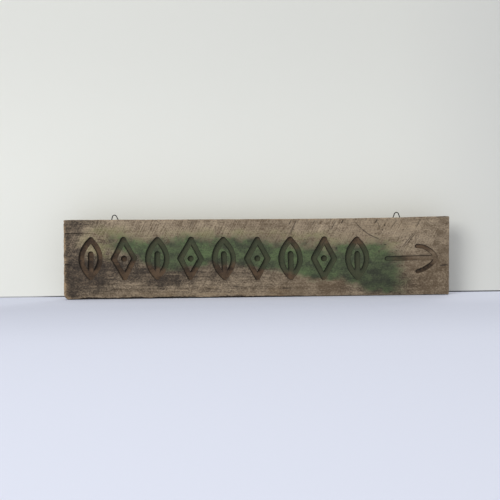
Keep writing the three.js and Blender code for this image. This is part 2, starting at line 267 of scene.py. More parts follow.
# The bare left end's reach into the face, what it gains low down, and two waves of tears in
# its border with their lengths up and along; then its fade, and what that gains low down
FRAYED_REACH, LOW_REACH = 4.0, 1.6
LONG_TEAR, LONG_TEAR_RUNS = 3.6, (8, 16)
SHORT_TEAR, SHORT_TEAR_RUNS = 2.6, (2.6, 9)
FRAYED_FADE, LOW_FADE = 1.2, 1.2
# The worn lower left corner: how much of its reach along counts, its tears and its strength
CORNER_ALONG_SHARE, CORNER_TEAR, CORNER_STRENGTH = 0.8, 6, 0.8
# The knocked edges: their fade into the face, their strength with how far it wanders, and that
# wave's length and row in the noise
KNOCK_FADE, KNOCK_STRENGTH, KNOCK_WANDER, KNOCK_RUN, KNOCK_ROW = 1.1, 0.35, 0.6, 14, 7

# How the hangers fit together
FOLD_CLEARANCE = 0.3 * MM
LEAF_SEAM = 0.2 * MM
SEAT_GAP = 0.3 * MM
HOLE_CLEARANCE = 0.3 * MM
WIRE_HALF_GAP = 0.3 * MM
SCREW_DROPS = {"upper": 8 * MM, "lower": 28 * MM}
SLOT_WIDTH, SLOT_DEPTH = 0.8 * MM, 1.1 * MM
ROUND_EDGE = 0.12 * MM
TOUCHING = 1e-7
# How finely they are made
CORNER_STEPS, APEX_STEPS, FOLD_STEPS = 14, 22, 24
END_POINTS, HOLE_POINTS = 20, 24
SCREW_SHARP_ANGLE = 38


def linear(colour):
    """A screen colour as the linear values that a shader takes."""
    channels = [c / 12.92 if c <= 0.04045 else ((c + 0.055) / 1.055) ** 2.4 for c in colour[:3]]
    return (*channels, 1.0)


def colour_property(name, red, green, blue, description):
    """A colour setting, written as it looks on screen."""
    return FloatVectorProperty(
        name=name,
        description=description,
        subtype="COLOR_GAMMA",
        size=3,
        min=0.0,
        max=1.0,
        default=(red / 255, green / 255, blue / 255),
    )


def length_property(name, millimetres, description):
    return FloatProperty(
        name=name, description=description, default=millimetres * MM, unit="LENGTH", precision=5,
    )


def power_property(name, watts, description):
    return FloatProperty(name=name, description=description, default=watts, unit="POWER")


class SignPlankSettings(bpy.types.PropertyGroup):
    """Sizes of the plank's surface and its carving."""

    cell: length_property("Cell", 2.35, "Size of the surface's coarse cells")
    groove_width: length_property("Groove width", 15.0, "Width of the ornaments' grooves")
    groove_depth: length_property("Groove depth", 7.4, "Depth of the ornaments' grooves")
    arrow_depth: length_property("Arrow depth", 4.2, "Depth of the arrow's grooves")
    arris_radius: length_property("Worn edge", 1.5, "Radius of the worn edges")
    unevenness: length_property("Unevenness", 0.5, "How far the sawn face wanders")


class SignHangerSettings(bpy.types.PropertyGroup):
    """Sizes of the rings, straps and screws on the back."""

    wire_radius: length_property("Wire radius", 1.2, "Radius of the ring's wire")
    ring_width: length_property("Ring width", 21.0, "Width of the ring at its rung")
    ring_height: length_property("Ring height", 21.0, "Height of the ring over its rung")
    apex_radius: length_property("Apex radius", 5.4, "Bend at the top of the ring")
    corner_radius: length_property("Corner radius", 2.5, "Bend at the ring's lower corners")
    strap_sheet: length_property("Strap sheet", 1.0, "Thickness of the strap's sheet steel")
    strap_width: length_property("Strap width", 11.0, "Width of the strap")
    strap_drop: length_property("Strap drop", 34.0, "From the rung down to the strap's end")
    screw_radius: length_property("Screw radius", 1.5, "Radius of the screw's shank")
    head_radius: length_property("Head radius", 3.0, "Radius of the screw's head")
    wire_sides: IntProperty(
        name="Wire sides", description="Sides of the wire's section", default=18, min=6,
    )


class SignColourSettings(bpy.types.PropertyGroup):
    """Colours of the wood, the paint and the steel."""

    wood_light: colour_property("Light wood", 183, 164, 137, "Raised, weathered grain")
    wood_middle: colour_property("Wood", 147, 131, 109, "The plank's main colour")
    wood_dark: colour_property("Dark wood", 93, 77, 58, "Hollows of the grain")
    # This colour also paints the underside dark, as a painted shade in the gap under the lifted
    # front edge
    stain: colour_property("Stain", 44, 37, 31, "Charcoal stain at the lower left")
    ochre: colour_property("Ochre", 146, 125, 96, "Yellowish streaks along the bottom")
    worn: colour_property("Worn edge", 168, 143, 111, "Bare wood on the knocked edges")
    spray: colour_property("Green spray", 75, 98, 57, "The sprayed band")
    spray_dark: colour_property("Dark green", 38, 52, 33, "Where the spray lies thick")
    spray_fringe: colour_property("Spray fringe", 112, 114, 68, "The band's yellow-green edge")
    soot_brown: colour_property("Sooty wood", 83, 69, 55, "Scuffed wood inside the stain")
    groove: colour_property("Groove paint", 97, 77, 57, "Old paint in the grooves")
    groove_green: colour_property("Groove in the spray", 59, 68, 45, "Thin spray over that paint")
    # Painted shade: a near-black line along the grooves' steep edges, stronger on their upper left
    # sides, stands in for their shadow. The same colour also darkens the arrow's lower barb.
    groove_rim: colour_property("Groove edge", 26, 22, 15, "Black dirt on their steep edges")
    groove_dark: colour_property("Groove dirt", 64, 50, 37, "Dirt low in the grooves")
    back_wood: colour_property("Back", 128, 114, 96, "Bare sawn wood on the back")
    wire: colour_property("Ring wire", 30, 30, 29, "Dull wire of the rings")
    strap: colour_property("Strap steel", 146, 146, 142, "Dull plated sheet")
    screw: colour_property("Screw steel", 168, 162, 148, "Aged screw heads")
    rust: colour_property("Rust", 96, 62, 42, "Rust on the steel")


class SignStageSettings(bpy.types.PropertyGroup):
    """The plain studio and its camera."""

    floor: colour_property("Floor", 224, 228, 242, "Pale floor")
    # Painted shadow: the floor is painted darker a step in front of the sign
    floor_shadow: colour_property("Floor, dim", 215, 219, 233, "The floor a step in front of the sign")
    wall: colour_property("Wall", 218, 218, 210, "Pale wall behind the sign")
    # Painted light: the wall is painted lighter low down, over the sign
    wall_lit_foot: colour_property("Wall foot", 234, 234, 225, "The wall low down")
    # Painted shade: the wall is painted darker towards its far right, away from the key lamp
    wall_shaded_end: colour_property("Wall, far right", 204, 204, 200, "The wall's dimmer far end")
    # Painted shade: the gap under the wall is painted dark
    joint: colour_property("Joint", 66, 66, 72, "Dark gap under the wall")
    joint_filled: colour_property("Joint, far left", 172, 172, 172, "Where dust fills the gap")
    key_power: power_property("Key lamp", 138.0, "Power of the key lamp")
    ceiling_power: power_property("Ceiling lamp", 20.0, "Power of the lamp above")
    fill_power: power_property("Fill lamp", 14.0, "Power of the fill lamp")
    sky: FloatProperty(
        name="Sky", description="Strength of the even light", default=0.48, min=0.0,
    )
    lens: FloatProperty(
        name="Lens", description="Focal length in millimetres", default=85.8, min=1.0,
    )
    distance: length_property("Distance", 3000.0, "Camera to plank")


# Noise, curves and distances on the plank's face

class FaceNoise:
    """Smooth noise over the plank's face, from -1 to 1 and the same on every run."""

    TABLE = 256

    def __init__(self, seed):
        self.values = np.random.default_rng(seed).random((self.TABLE, self.TABLE))

    def __call__(self, u, v):
        """The table's values at places between its own, eased from one to the next."""
        last = self.TABLE - 1
        whole_u, whole_v = np.floor(u).astype(int), np.floor(v).astype(int)
        ease_u, ease_v = smoothstep(0, 1, u - whole_u), smoothstep(0, 1, v - whole_v)

        def row(number):
            start = self.values[whole_u & last, number & last]
            end = self.values[(whole_u + 1) & last, number & last]
            return start * (1 - ease_u) + end * ease_u

        return 2 * (row(whole_v) * (1 - ease_v) + row(whole_v + 1) * ease_v) - 1

    def layered(self, u, v):
        """Three layers, each half as large and half as strong as the one before."""
        return sum(self(u * 2 ** i, v * 2 ** i) / 2 ** i for i in range(3)) / 1.5


def smoothstep(low, high, value):
    """A share from 0 to 1 that eases in and out between two values."""
    share = np.clip((value - low) / (high - low), 0, 1)
    return share * share * (3 - 2 * share)


def as_share(noise):
    """Noise from -1 to 1, as a share from 0 to 1."""
    return 0.5 + 0.5 * noise


def over(runs, noise, u, v):
    """Noise whose waves have a length along each axis."""
    return noise(u / runs[0], v / runs[1])


def catmull_rom(points, steps):
    """A smooth path through the points, with the same number of steps between each two."""
    points = np.array(points, float)
    padded = np.vstack([points[0], points, points[-1]])
    share = np.linspace(0, 1, steps, endpoint=False)[:, None]
    runs = []
    for i in range(len(points) - 1):
        before, start, end, after = padded[i:i + 4]
        leave, arrive = (end - before) / 2, (after - start) / 2
        runs.append(
            (2 * start - 2 * end + leave + arrive) * share ** 3
            + (3 * end - 3 * start - 2 * leave - arrive) * share ** 2
            + leave * share + start
        )
    return np.vstack([*runs, points[-1:]])


TOP_EDGE = catmull_rom(
    [
        (LEFT / MM + END_LEAN, HEIGHT_AT_LEFT),
        (LEFT / MM + DIP_SHARE * LENGTH / MM, HEIGHT_AT_DIP),
        (RIGHT / MM, HEIGHT_AT_RIGHT),
    ],
    TOP_STEPS,
)


def top_height(x):
    """Height of the top edge over a place along the plank, in millimetres."""
    return np.interp(x, TOP_EDGE[:, 0], TOP_EDGE[:, 1])


class Stroke:
    """One pull of the round-nosed cutter: its path on the face, width and depth."""

    def __init__(self, path, width, depth, chatter=0.0):
        self.path = np.array(path, float)
        self.width = width
        self.depth = depth
        self.chatter = chatter


def straight(start, end):
    """A straight path of points."""
    count = max(2, int(math.dist(start, end) / PATH_STEP))
    share = np.linspace(0, 1, count)[:, None]
    return np.array(start) * (1 - share) + np.array(end) * share


def bowed(start, bend, end):
    """A path that bends once, toward a point beside it."""
    share = np.linspace(0, 1, BOW_POINTS)[:, None]
    start, bend, end = np.array(start), np.array(bend), np.array(end)
    return start * (1 - share) ** 2 + 2 * bend * share * (1 - share) + end * share ** 2


def motif_strokes(i, width, depth):
    """A leaf or a lozenge, leaning a little as a hand sets it out."""
    middle_x = LEFT / MM + FIRST_MOTIF_INSET + i * MOTIF_PITCH
    middle_z = BAND_AT_LEFT + (BAND_AT_RIGHT - BAND_AT_LEFT) * i / (MOTIF_COUNT - 1)
    lean = math.radians(MOTIF_LEAN * LEAN_SHARES[i % len(LEAN_SHARES)])

    def place(across, up):
        x = middle_x + across * math.cos(lean) + up * math.sin(lean)
        return x, middle_z + up * math.cos(lean) - across * math.sin(lean)

    half = MOTIF_HEIGHT / 2
    if i % 2 == 0:
        paths = [
            bowed(place(0, -half), place(-LEAF_WIDTH, 0), place(0, half)),
            bowed(place(0, -half), place(LEAF_WIDTH, 0), place(0, half)),
            straight(place(0, -half), place(0, VEIN_TOP_SHARE * MOTIF_HEIGHT - half)),
        ]
        return [Stroke(path, width * share, depth) for path, share in zip(paths, LEAF_SHARES)]
    side = LOZENGE_WIDTH / 2
    corners = [place(0, half), place(side, 0), place(0, -half), place(-side, 0)]
    sides = zip(corners, [*corners[1:], corners[0]], LOZENGE_SHARES)
    strokes = [Stroke(straight(start, end), width * share, depth) for start, end, share in sides]
    dimple = Stroke([place(0, 0), place(0, DIMPLE_RUN)], DIMPLE_WIDTH, depth)
    return [*strokes, dimple]


def arrow_strokes(depth):
    """The arrow: its head in two pulls that meet at the tip, and its shaft."""
    tip_x = RIGHT / MM - ARROW_END_GAP
    barb_x = tip_x - ARROW_HEAD_DEPTH
    head = catmull_rom(
        [
            (barb_x + across * ARROW_HEAD_DEPTH, ARROW_HEAD_BASE + up * ARROW_HEAD_HEIGHT)
            for across, up in HEAD_PATH_SHARES
        ],
        HEAD_STEPS,
    )
    neck = ARROW_HEAD_BASE + SHAFT_HEIGHT_SHARE * ARROW_HEAD_HEIGHT
    shaft = straight((tip_x - ARROW_SHAFT_LENGTH, neck - ARROW_SHAFT_RISE), (tip_x, neck))
    lower_barb = len(head) // 2
    head_width, barb_depth = ARROW_WIDTH * HEAD_WIDTH_SHARE, depth * LOWER_BARB_DEPTH_SHARE
    return [
        Stroke(head[:lower_barb + 1], head_width, depth),
        Stroke(head[lower_barb:], head_width, barb_depth, chatter=CHATTER_HEIGHT),
        Stroke(shaft, ARROW_WIDTH, depth),
    ]


def close_to(path, reach, x, z):
    """Which points lie in a path's box, grown by a reach."""
    low, high = path.min(axis=0) - reach, path.max(axis=0) + reach
    return np.flatnonzero((x > low[0]) & (x < high[0]) & (z > low[1]) & (z < high[1]))


def oval(x, z, middle_x, middle_z, half_x, half_z):
    """How far points are from an oval's middle: 1 is on the oval."""
    return np.hypot((x - middle_x) / half_x, (z - middle_z) / half_z)


def nearest_on_path(path, x, z):
    """Distance to a path, the place along it and the unit direction away from it."""
    start, step = path[:-1], np.diff(path, axis=0)
    run = np.hypot(step[:, 0], step[:, 1])
    along = np.concatenate([[0], np.cumsum(run)])
    offset_x = x[:, None] - start[None, :, 0]
    offset_z = z[:, None] - start[None, :, 1]
    share = (offset_x * step[:, 0] + offset_z * step[:, 1]) / (run * run + 1e-12)
    share = np.clip(share, 0, 1)
    away_x, away_z = offset_x - share * step[:, 0], offset_z - share * step[:, 1]
    square = away_x ** 2 + away_z ** 2
    best = square.argmin(axis=1)
    rows = np.arange(len(x))
    distance = np.sqrt(square[rows, best])
    place = along[best] + share[rows, best] * run[best]
    direction = np.stack([away_x[rows, best], away_z[rows, best]]) / np.maximum(distance, 1e-9)
    return distance, place, direction


class Carving:
    """Depth, signed distance to the nearest groove's rim, and the direction away from it."""

    # The power of a groove's section: a round bottom with steep sides
    ROUNDNESS = 4.0
    # How far past a groove's side its rim is looked for, in millimetres
    REACH = 8.0
    # The hand wanders over this run, in millimetres, and by these shares of width and depth
    WANDER_RUN, WIDTH_WANDER, DEPTH_WANDER = 14.0, 0.05, 0.08
    # Each stroke takes its own row of the noise, this far from the next
    WANDER_ROWS = 7.3
    CHATTER_PITCH = 5.5

    def __init__(self, strokes):
        self.strokes = strokes
        self.wander = FaceNoise(11)

    def at(self, x, z):
        """All three at some points of the face."""
        depth = np.zeros(len(x))
        rim = np.full(len(x), NOWHERE_NEAR)
        away = np.zeros((2, len(x)))
        for number, stroke in enumerate(self.strokes):
            near = close_to(stroke.path, stroke.width / 2 + self.REACH, x, z)
            if not len(near):
                continue
            distance, place, direction = nearest_on_path(stroke.path, x[near], z[near])
            row = np.full(len(near), self.WANDER_ROWS * number)
            uneven = self.wander(place / self.WANDER_RUN, row)
            half = stroke.width / 2 * (1 + self.WIDTH_WANDER * uneven)
            share = np.clip(distance / half, 0, 1)
            bowl = (1 - share ** self.ROUNDNESS) ** (1 / self.ROUNDNESS)
            wave = np.clip(np.sin(place * 2 * math.pi / self.CHATTER_PITCH), 0, 1)
            ripple = stroke.chatter * wave * bowl
            own_depth = bowl * stroke.depth * (1 + self.DEPTH_WANDER * uneven) - ripple
            own_rim = distance - half
            depth[near] = np.maximum(depth[near], own_depth)
            closer = own_rim < rim[near]
            rim[near[closer]] = own_rim[closer]
            away[:, near[closer]] = direction[:, closer]
        return depth, rim, away


# The plank's surface

# Lines this near the border, in millimetres, carry its worn edge
EDGE_LINES = (0.5, 1.1, 1.8)
# A line this near a named place, as a share of a cell, moves to it; else the place gets a line
# of its own, unless that would be this near another, in millimetres
MOVED_SHARE, LEAST_CELL = 0.25, 0.2


def cell_lines(length, cell, extra):
    """Line places from 0 to a length: even cells, closer at both ends and round named places."""
    count = 2 * int(round(length / cell / 2))
    lines = list(np.linspace(0, length, count + 1))
    for place in [*EDGE_LINES, *(length - line for line in EDGE_LINES), *extra]:
        nearest = int(np.argmin([abs(place - line) for line in lines]))
        on_hand = abs(lines[nearest] - place) < MOVED_SHARE * cell
        if on_hand and 0 < nearest < len(lines) - 1:
            lines[nearest] = place
        elif all(abs(place - line) > LEAST_CELL for line in lines):
            lines.append(place)
            lines.sort()
    if len(lines) % 2 == 0:
        widest = int(np.argmax(np.diff(lines)))
        lines.insert(widest + 1, (lines[widest] + lines[widest + 1]) / 2)
    return np.array(lines)


def with_middles(lines):
    """The lines with one more halfway between each two."""
    doubled = np.empty(2 * len(lines) - 1)
    doubled[::2] = lines
    doubled[1::2] = (lines[:-1] + lines[1:]) / 2
    return doubled


def sheet_triangles(fine, height):
    """Triangles over a lattice: fine cells are cut in four and their neighbours are fanned."""
    stride = 2 * fine.shape[1] + 1

    def corner(i, j):
        return i * stride + j

    padded = np.pad(fine, 1)
    left, right = padded[:-2, 1:-1], padded[2:, 1:-1]
    below, above = padded[1:-1, :-2], padded[1:-1, 2:]
    fanned = ~fine & (left | right | below | above)
    plain = ~fine & ~fanned
    triangles = []

    def add(*corners):
        triangles.append(np.stack(corners, axis=1))

    def add_quads(a, b, c, d):
        """Two triangles in each quad, split along its flatter diagonal."""
        along_ac = np.abs(height[a] - height[c]) <= np.abs(height[b] - height[d])
        halves = (along_ac, (a, b, c), (a, c, d)), (~along_ac, (a, b, d), (b, c, d))
        for keep, first, second in halves:
            add(*(v[keep] for v in first))
            add(*(v[keep] for v in second))

    i, j = 2 * np.argwhere(plain).T
    add_quads(corner(i, j), corner(i + 2, j), corner(i + 2, j + 2), corner(i, j + 2))
    for di in (0, 1):
        for dj in (0, 1):
            i, j = 2 * np.argwhere(fine).T
            i, j = i + di, j + dj
            add_quads(corner(i, j), corner(i + 1, j), corner(i + 1, j + 1), corner(i, j + 1))
    sides = (
        (below, (0, 0), (1, 0), (2, 0)), (right, (2, 0), (2, 1), (2, 2)),
        (above, (2, 2), (1, 2), (0, 2)), (left, (0, 2), (0, 1), (0, 0)),
    )
    for neighbour, start, middle, end in sides:
        for split in (True, False):
            i, j = 2 * np.argwhere(fanned & (neighbour == split)).T
            centre = corner(i + 1, j + 1)
            a, m, b = (corner(i + di, j + dj) for di, dj in (start, middle, end))
            if split:
                add(centre, a, m)
                add(centre, m, b)
            else:
                add(centre, a, b)
    return np.vstack(triangles)


def worn_corner(s, t, length, height, radius, at_left, at_bottom):
    """Draws the lattice in round a worn corner."""
    a = s if at_left else length - s
    b = t if at_bottom else height - t
    inside = (a < radius) & (b < radius)
    p, q = radius - a[inside], radius - b[inside]
    largest = np.maximum(p, q)
    scale = largest / np.maximum(np.hypot(p, q), 1e-9)
    a, b = a.copy(), b.copy()
    a[inside], b[inside] = radius - p * scale, radius - q * scale
    return (a if at_left else length - a), (b if at_bottom else height - b)


class PlankSurface:
    """The plank's front, edges and back as one closed mesh, with where the paint and wear lie."""

    # Cells this near a groove's rim, in millimetres, are cut finer, and so are those this near
    # a scratch or a dent
    RIM_REACH, SCRATCH_REACH, DENT_REACH = 2.4, 1.2, 1.5
    # Lattice points this near a rim, as a share of a cell, move onto it
    SNAP_SHARE = 0.24
    # The rows of points that join the front's border to the back's, and how rough they are, in
    # millimetres, at the frayed left end and elsewhere
    EDGE_ROWS = 11
    ROUGH_LEFT, ROUGH_EDGE = 0.9, 0.35
    # The noise behind that roughness: the border points in one step of it, and the steps from
    # one row to the next
    ROUGH_RUN, ROUGH_STEP = 2.2, 1.7
    # How soon the underside comes down to the ground, as a power
    UNDERSIDE_POWER = 4
    # Waves of unevenness at the frayed left end, the sawn right end and the top edge: which
    # noise, how high and how long they are in millimetres, and the noise's row
    FRAYED_WAVES = ((0, 1.1, 5.0, 0), (1, 0.5, 1.7, 0))
    SAWN_WAVES = ((2, 0.4, 9.0, 3),)
    NICKED_WAVES = ((3, 0.5, 23.0, 0), (3, 0.3, 4.0, 9))
    # The gap under the plank: its even share, then the share, length and row of each wave
    GAP_EVEN_SHARE = 0.75
    GAP_WAVES = ((0.35, 31.0, 2), (0.2, 6.0, 8))
    # The worn edge's radius, as shares of its setting: the least of it and how far it wanders,
    # then what the left end and the bottom add. Lengths and fades are in millimetres.
    LEAST_WEAR, WEAR_WANDER, WEAR_RUNS = 0.7, 0.9, (37.0, 29.0)
    LEFT_WEAR, LEFT_WEAR_FADE = 1.1, 18.0
    BOTTOM_WEAR, BOTTOM_WEAR_FADE = 0.9, 9.0
    # Lengths along and up the face, in millimetres: of its slow wander, of one ridge of the
    # saw, and of the patches where the ridges are high
    SLOW_RUNS, RIDGE_RUNS, PATCH_RUNS = (120.0, 45.0), (5.5, 60.0), (70.0, 40.0)
    # The back's ridges: their spacing along and up, their length, the noise's row, and half
    # their height
    BACK_SPACING, BACK_RUN, BACK_ROW, BACK_RIDGE_HEIGHT = (6.0, 12.0), 50.0, 40.0, 0.12
    # A scratch's depth is taken no nearer to its ends than this share of it
    SCRATCH_END_SHARE = 0.02
    # A crack's depth breaks up by a share, over a length. Its width keeps a share at its inner
    # end, with a least half width. Its depth fades by a power, and its sides are this steep.
    CRACK_BREAKS, CRACK_RUN = 0.25, 6.0
    CRACK_END_SHARE, LEAST_HALF_CRACK = 0.35, 0.05
    CRACK_FADE_POWER, CRACK_STEEPNESS = 0.7, 1.6
    # The way to a groove's upper left side, which is turned from the light and gets a darker
    # painted shade, and how sharply that side is told from the other
    UP_LEFT, SIDE_CONTRAST = (-0.8, 0.6), 0.6
    # How far the face is worn down at a groove's rim, and its fade, in millimetres
    RIM_WEAR, RIM_WEAR_FADE = 0.18, 0.8
    # What a point's fields hold where nothing is carved
    UNCARVED = {"rim": NOWHERE_NEAR, "upper_left": 0.0, "marks": 0.0}

    def __init__(self, settings):
        self.settings = settings
        self.noise = [FaceNoise(seed) for seed in range(20, 30)]
        width = settings.groove_width / MM
        depth = settings.groove_depth / MM
        strokes = [stroke for i in range(MOTIF_COUNT) for stroke in motif_strokes(i, width, depth)]
        self.carving = Carving(strokes + arrow_strokes(settings.arrow_depth / MM))
        self.length, self.height = LENGTH / MM, HEIGHT / MM
        self.cell = settings.cell / MM
        crack_rows = [
            self.crack_row(height + side * (width / 2 + margin))
            for height, _, width, _ in CRACKS
            for side, margin in ((-1, CRACK_MARGIN), (-1, 0), (0, 0), (1, 0), (1, CRACK_MARGIN))
        ]
        self.lines_s = cell_lines(self.length, self.cell, [])
        self.lines_t = cell_lines(self.height, self.cell, crack_rows)

    def crack_row(self, height):
        """The lattice's row at a height over the ground, near the left end."""
        return height * self.height / TOP_OVER_CRACKS

    def bumps(self, number, along, row):
        """Unevenness along a line, from 0 to 1."""
        return as_share(self.noise[number](along, np.full_like(along, row)))

    def waves(self, table, along):
        """The sum of some waves of unevenness along a line, in millimetres."""
        return sum(
            height * self.bumps(number, along / run, row) for number, height, run, row in table
        )

    def place(self, s, t, gap):
        """Where a lattice point lies on the outline, before it gets its depth."""
        corners = (
            (BOTTOM_LEFT_WEAR, True, True), (CORNER_WEAR, False, True),
            (CORNER_WEAR, True, False), (CORNER_WEAR, False, False),
        )
        for radius, at_left, at_bottom in corners:
            s, t = worn_corner(s, t, self.length, self.height, radius, at_left, at_bottom)
        from_right, from_top = self.length - s, self.height - t
        frayed, sawn = self.waves(self.FRAYED_WAVES, t), self.waves(self.SAWN_WAVES, t)
        nicked = self.waves(self.NICKED_WAVES, s)
        level = t / self.height
        x = s + frayed * np.exp(-s / END_FADE) - sawn * np.exp(-from_right / END_FADE)
        x = LEFT / MM + END_LEAN * level + x * (self.length - END_LEAN) / self.length
        z = level * top_height(x) - nicked * np.exp(-from_top / TOP_FADE)
        lower = (1 - RIGHT_GAP_SHARE) * smoothstep(*GAP_FALLS, s)
        ends = smoothstep(*GAP_STARTS, s) * smoothstep(0, GAP_ENDS, from_right)
        hollow = gap * (1 - lower) * ends
        uneven = self.GAP_EVEN_SHARE
        for share, run, row in self.GAP_WAVES:
            uneven = uneven + share * self.noise[4](s / run, np.full_like(s, row))
        hollow = (LEAST_GAP + hollow) * uneven
        return x, z + np.maximum(hollow, 0) * np.exp(-t / GAP_FADE)

    def edge_distance(self, s, t):
        """How far a lattice point lies inside the border."""
        nearest = np.minimum(np.minimum(s, self.length - s), np.minimum(t, self.height - t))
        return np.maximum(nearest, 0)

    def arris(self, s, t):
        """How far the face falls back at its worn edge."""
        uneven = as_share(over(self.WEAR_RUNS, self.noise[5].layered, s, t))
        wear = self.LEAST_WEAR + self.WEAR_WANDER * uneven
        wear = wear + self.LEFT_WEAR * np.exp(-s / self.LEFT_WEAR_FADE)
        wear = wear + self.BOTTOM_WEAR * np.exp(-t / self.BOTTOM_WEAR_FADE)
        radius = self.settings.arris_radius / MM * wear
        inside = np.clip(radius - self.edge_distance(s, t), 0, radius)
        return radius - np.sqrt(np.maximum(radius ** 2 - inside ** 2, 0))

    def sawn_face(self, x, z):
        """The rough-sawn face: it wanders, and the saw has left slanting ridges."""
        slow = as_share(over(self.SLOW_RUNS, self.noise[6].layered, x, z))
        cosine, sine = math.cos(SAW_SLANT), math.sin(SAW_SLANT)
        across, along = x * cosine - z * sine, x * sine + z * cosine
        ridges = over(self.RIDGE_RUNS, self.noise[7], across, along)
        ridges = ridges * as_share(over(self.PATCH_RUNS, self.noise[8], x, z))
        return self.settings.unevenness / MM * slow + RIDGE_HEIGHT * (1 + ridges)

    def marks(self, x, z):
        """Depth of the scratches, dents and the chip at the top edge."""
        u = x - LEFT / MM
        depth = np.zeros(len(x))
        for start_u, start_z, end_u, end_z, width, deep in SCRATCHES:
            path = np.array([(start_u, start_z), (end_u, end_z)], float)
            near = close_to(path, SCRATCH_BOX, u, z)
            distance, place, _ = nearest_on_path(path, u[near], z[near])
            end = self.SCRATCH_END_SHARE
            along = np.clip(place / math.dist(*path), end, 1 - end)
            taper = np.sqrt(np.sin(math.pi * along))
            scratch = deep * taper * np.clip(1 - distance / width, 0, 1)
            depth[near] = np.maximum(depth[near], scratch)
        for middle_u, middle_z, half_u, half_z, deep in DENTS:
            far = oval(u, z, middle_u, middle_z, half_u, half_z)
            depth = np.maximum(depth, deep * np.clip(1 - far ** 2, 0, 1))
        inset, half_length, drop, deep = CHIP
        far = oval(x, z, RIGHT / MM - inset, top_height(x), half_length, drop)
        return depth + deep * np.sqrt(np.clip(1 - far ** 2, 0, 1))

    def crack_depth(self, s, t):
        """Depth of the drying cracks, narrow and shallow away from the left end."""
        depth = np.zeros(len(s))
        for height, length, width, deep in CRACKS:
            fade = np.clip(1 - s / length, 0, 1)
            wave = self.noise[9](s / self.CRACK_RUN, np.full_like(s, height))
            broken = 1 - self.CRACK_BREAKS + self.CRACK_BREAKS * wave
            width_left = self.CRACK_END_SHARE + (1 - self.CRACK_END_SHARE) * fade
            half_width = 0.5 * width * width_left + self.LEAST_HALF_CRACK
            narrow = np.clip(1 - np.abs(t - self.crack_row(height)) / half_width, 0, 1)
            steep = np.minimum(1, self.CRACK_STEEPNESS * narrow)
            depth = np.maximum(depth, deep * fade ** self.CRACK_FADE_POWER * broken * steep)
        return depth

    def refined(self, rim_at_cells, x, z):
        """Which cells are cut finer: those in and beside a groove, a scratch or a dent."""
        fine = rim_at_cells < self.RIM_REACH
        u = x - LEFT / MM
        for start_u, start_z, end_u, end_z, width, _ in SCRATCHES:
            path = np.array([(start_u, start_z), (end_u, end_z)], float)
            distance, _, _ = nearest_on_path(path, u.ravel(), z.ravel())
            fine |= distance.reshape(fine.shape) < width + self.SCRATCH_REACH
        for middle_u, middle_z, half_u, half_z, _ in DENTS:
            grown = half_u + self.DENT_REACH, half_z + self.DENT_REACH
            fine |= oval(u, z, middle_u, middle_z, *grown) < 1
        fine[0, :] = fine[-1, :] = False
        fine[:, 0] = fine[:, -1] = False
        return fine

    def front(self):
        """The carved face: its points, its triangles and what lies where."""
        lattice_s, lattice_t = np.meshgrid(
            with_middles(self.lines_s), with_middles(self.lines_t), indexing="ij",
        )
        s, t = lattice_s.ravel(), lattice_t.ravel()
        x, z = self.place(s, t, GAP_HEIGHT)
        _, rim, away = self.carving.at(x, z)
        snapped = np.abs(rim) < self.SNAP_SHARE * self.cell
        x[snapped] -= (rim * away[0])[snapped]
        z[snapped] -= (rim * away[1])[snapped]
        depth, rim, away = self.carving.at(x, z)
        # The upper left side of each groove is turned from the light and gets the darker painted
        # shade
        toward = self.UP_LEFT[0] * away[0] + self.UP_LEFT[1] * away[1]
        upper_left = np.clip(0.5 + self.SIDE_CONTRAST * toward, 0, 1)
        middles = (slice(1, None, 2), slice(1, None, 2))
        fine = self.refined(*(v.reshape(lattice_s.shape)[middles] for v in (rim, x, z)))
        fade = np.exp(-np.clip(rim, 0, None) / self.RIM_WEAR_FADE)
        worn_rim = self.RIM_WEAR * fade * (rim >= 0)
        face = np.maximum(self.sawn_face(x, z) + worn_rim, 0)
        marks = self.marks(x, z)
        cuts = np.maximum.reduce([depth, marks, self.crack_depth(s, t)])
        y = FRONT / MM + face + self.arris(s, t) + cuts
        fields = {
            "rim": rim, "upper_left": upper_left, "marks": marks,
            "edge": self.edge_distance(s, t), "s": s, "t": t, "back": 0.0,
        }
        return np.stack([x, y, z], axis=1), sheet_triangles(fine, y), fields

    def back(self):
        """The plain back, with cells that are cut in four only along its border."""
        lattice_s, lattice_t = np.meshgrid(self.lines_s, self.lines_t, indexing="ij")
        s, t = lattice_s.ravel(), lattice_t.ravel()
        x, z = self.place(s, t, 0.0)
        across = x / self.BACK_SPACING[0] - z / self.BACK_SPACING[1]
        ridges = self.noise[7](across, z / self.BACK_RUN + self.BACK_ROW)
        y = BACK / MM - self.arris(s, t) - self.BACK_RIDGE_HEIGHT * (1 + ridges)
        fine = np.zeros((len(self.lines_s) // 2, len(self.lines_t) // 2), bool)
        fine[0, :] = fine[-1, :] = True
        fine[:, 0] = fine[:, -1] = True
        edge = self.edge_distance(s, t)
        fields = {**self.UNCARVED, "edge": edge, "s": s, "t": t, "back": 1.0}
        return np.stack([x, y, z], axis=1), sheet_triangles(fine, y)[:, ::-1], fields

    def border(self, step):
        """Lattice places round the border, counterclockwise as the front is seen."""
        columns, rows = len(self.lines_s) - 1, len(self.lines_t) - 1
        stride = rows * step + 1
        bottom = [(i, 0) for i in range(columns)]
        right = [(columns, j) for j in range(rows)]
        top = [(i, rows) for i in range(columns, 0, -1)]
        left = [(0, j) for j in range(rows, 0, -1)]
        return np.array([i * step * stride + j * step for i, j in bottom + right + top + left])

